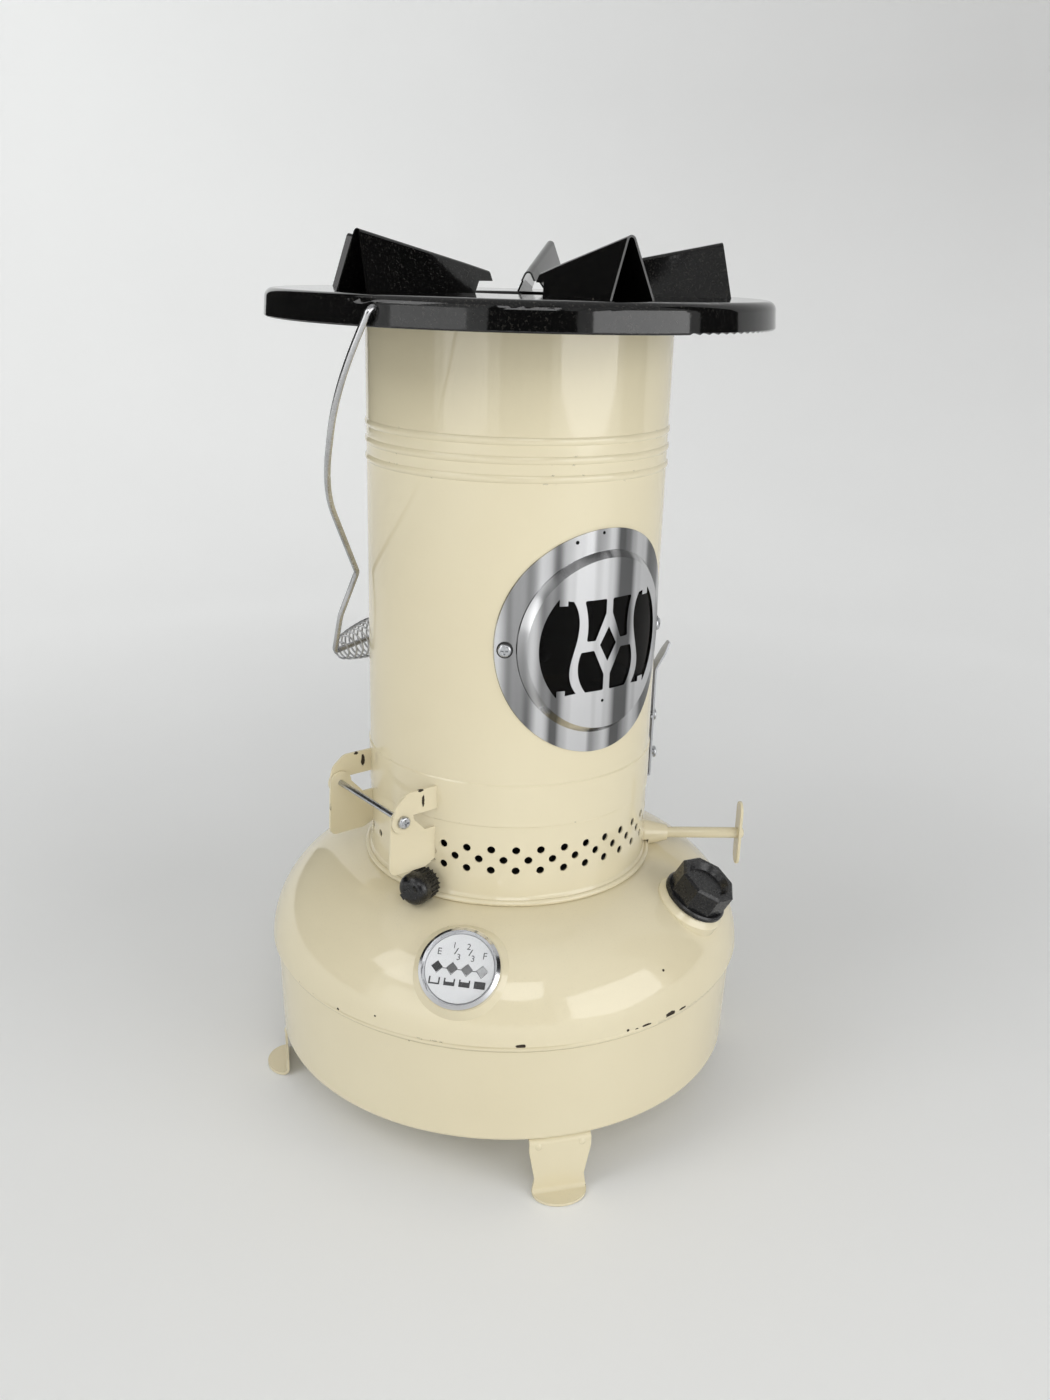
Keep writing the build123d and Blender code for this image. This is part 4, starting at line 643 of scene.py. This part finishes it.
def makeBackdrop():
    wall, bend, steps = studio["wall"], studio["bend"], studio["steps"]
    profile = [(wall - bend, 0.0)]
    for i in range(1, studio["bendSteps"] + 1):
        angle = math.pi / 2 * i / studio["bendSteps"]
        profile.append((wall - bend + bend * math.sin(angle), bend - bend * math.cos(angle)))
    profile.append((wall, studio["top"]))
    build = bmesh.new()
    turns = [2 * math.pi * i / steps for i in range(steps)]
    rings = [[build.verts.new((radius * math.cos(turn), radius * math.sin(turn), height)) for turn in turns]
             for radius, height in profile]
    build.faces.new(rings[0])
    bridgeRings(build, list(zip(rings, rings[1:])))
    mesh = bpy.data.meshes.new("backdrop")
    build.to_mesh(mesh)
    build.free()
    for face in mesh.polygons:
        face.use_smooth = True
    mesh.materials.append(backdropPaper())
    made = newObject("backdrop", mesh)
    made.location.z = -studio["drop"]


# pale paper with painted shade darkening it to the right, and a painted glow away from the object for the
# camera and for gloss, weaker to the right
def backdropPaper():
    material, tree, shader = newMaterial("backdropPaper", Roughness=0.8)
    shader.inputs["Specular IOR Level"].default_value = 0.2
    half = paper["halfWidth"]
    coords = addNode(tree, "ShaderNodeTexCoord", (-1300, 0))
    across = addNode(tree, "ShaderNodeVectorMath", (-1100, -250), operation="DOT_PRODUCT")
    tree.links.new(coords.outputs["Object"], across.inputs[0])
    across.inputs[1].default_value = sideways(cameraAzimuth)
    height = addNode(tree, "ShaderNodeSeparateXYZ", (-1100, 250))
    tree.links.new(coords.outputs["Object"], height.inputs[0])
    # painted shade: the wall darkens towards the right
    right = rangeNode(tree, (-850, -250), across.outputs["Value"], -half, half)
    wall = mixColour(tree, (-600, -200), right, paper["pale"], paper["far"])
    raised = rangeNode(tree, (-850, 250), height.outputs["Z"], 0.0, paper["wallFrom"])
    sheet = mixColour(tree, (-350, 0), raised, paper["floor"], wall)
    slow = noiseNode(tree, (-850, 450), coords.outputs["Object"], 2.0, 2.0)
    cloud = rangeNode(tree, (-600, 300), slow, 0.3, 0.7, 0.97, 1.0)
    clouded = mixColour(tree, (-150, 0), 1.0, sheet, cloud, "MULTIPLY")
    tree.links.new(clouded, shader.inputs["Base Color"])
    path = addNode(tree, "ShaderNodeLightPath", (-900, 700))
    direct, gloss = path.outputs["Is Camera Ray"], path.outputs["Is Glossy Ray"]
    seen = mathNode(tree, "MAXIMUM", (-650, 700), direct, gloss)
    seen = mathNode(tree, "MAXIMUM", (-450, 700), seen, path.outputs["Is Transmission Ray"])
    # painted light: the glow weakens towards the right
    share = rangeNode(tree, (-650, 900), across.outputs["Value"], -half, half, paper["glow"],
                      paper["farGlow"])
    away = addNode(tree, "ShaderNodeVectorMath", (-1100, 500), operation="LENGTH")
    tree.links.new(coords.outputs["Object"], away.inputs[0])
    lifted = rangeNode(tree, (-850, 550), away.outputs["Value"], paper["glowFrom"], paper["glowTo"])
    glow = mathNode(tree, "MULTIPLY", (-300, 500), lifted, seen)
    glow = mathNode(tree, "MULTIPLY", (-250, 600), glow, share)
    glowing = mixColour(tree, (-100, 400), glow, (0, 0, 0, 1), (1, 1, 1, 1))
    tree.links.new(glowing, shader.inputs["Emission Color"])
    shader.inputs["Emission Strength"].default_value = 1.0
    return material


# black cards beside the softboxes keep the room dark in gloss, as it is behind the photograph's camera
def makeFlags():
    flags = studio["flags"]
    steps = flags["steps"]
    build = bmesh.new()
    for first, last in flags["azimuths"]:
        edges = [outward(cameraAzimuth + first + (last - first) * i / steps) * flags["radius"]
                 for i in range(steps + 1)]
        low = [build.verts.new((x, y, flags["low"])) for x, y, _ in edges]
        high = [build.verts.new((x, y, flags["high"])) for x, y, _ in edges]
        for i in range(steps):
            build.faces.new([low[i], low[i + 1], high[i + 1], high[i]])
    mesh = bpy.data.meshes.new("blackFlags")
    build.to_mesh(mesh)
    build.free()
    material, _, shader = newMaterial("flagCloth", Roughness=0.95)
    shader.inputs["Base Color"].default_value = flags["colour"]
    mesh.materials.append(material)
    made = newObject("blackFlags", mesh)
    made.visible_camera = made.visible_diffuse = made.visible_shadow = False


def makeSoftbox(name, box):
    lamp = bpy.data.lights.new(name, "AREA")
    lamp.shape = "RECTANGLE"
    lamp.size, lamp.size_y = box["size"]
    lamp.energy = box["power"]
    made = newObject(name, lamp)
    made.location = outward(cameraAzimuth + box["azimuth"]) * box["distance"] + Vector((0, 0, box["height"]))
    aim = Vector((0, 0, box["aim"])) - made.location
    made.rotation_euler = aim.to_track_quat("-Z", "Y").to_euler()
    made.visible_camera = False


def makeStudio():
    makeBackdrop()
    makeFlags()
    for name, box in softboxes.items():
        makeSoftbox("softbox_" + name, box)
    world = bpy.data.worlds.new("studioLight")
    world.use_nodes = True
    sky = world.node_tree.nodes["Background"]
    sky.inputs[0].default_value = (1, 1, 1, 1)
    sky.inputs[1].default_value = studio["world"]
    bpy.context.scene.world = world
    bpy.context.scene.view_settings.view_transform = "Standard"


makeStudio()
print("studio lit")


# camera, solved on the round parts of the photograph (frame 1050 x 1400)

camera = {"place": (-0.3935, -0.5578, 0.4710), "yaw": 0.0120967, "pitch": 0.3339098, "roll": 0.0288755,
          "lens": 32.29}


def makeCamera():
    yaw, pitch, roll = camera["yaw"], camera["pitch"], camera["roll"]
    ahead = Vector((math.sin(yaw) * math.cos(pitch), math.cos(yaw) * math.cos(pitch), -math.sin(pitch)))
    right = Vector((math.cos(yaw), -math.sin(yaw), 0))
    up = right.cross(ahead)
    rolledRight = right * math.cos(roll) + up * math.sin(roll)
    rolledUp = up * math.cos(roll) - right * math.sin(roll)
    turn = Matrix((rolledRight, rolledUp, -ahead)).transposed()
    turn = Matrix.Rotation(math.radians(cameraAzimuth), 3, "Z") @ turn
    data = bpy.data.cameras.new("photoCamera")
    data.lens = camera["lens"]
    made = newObject("photoCamera", data)
    made.matrix_world = Matrix.Translation(camera["place"]) @ turn.to_4x4()
    bpy.context.scene.camera = made


makeCamera()
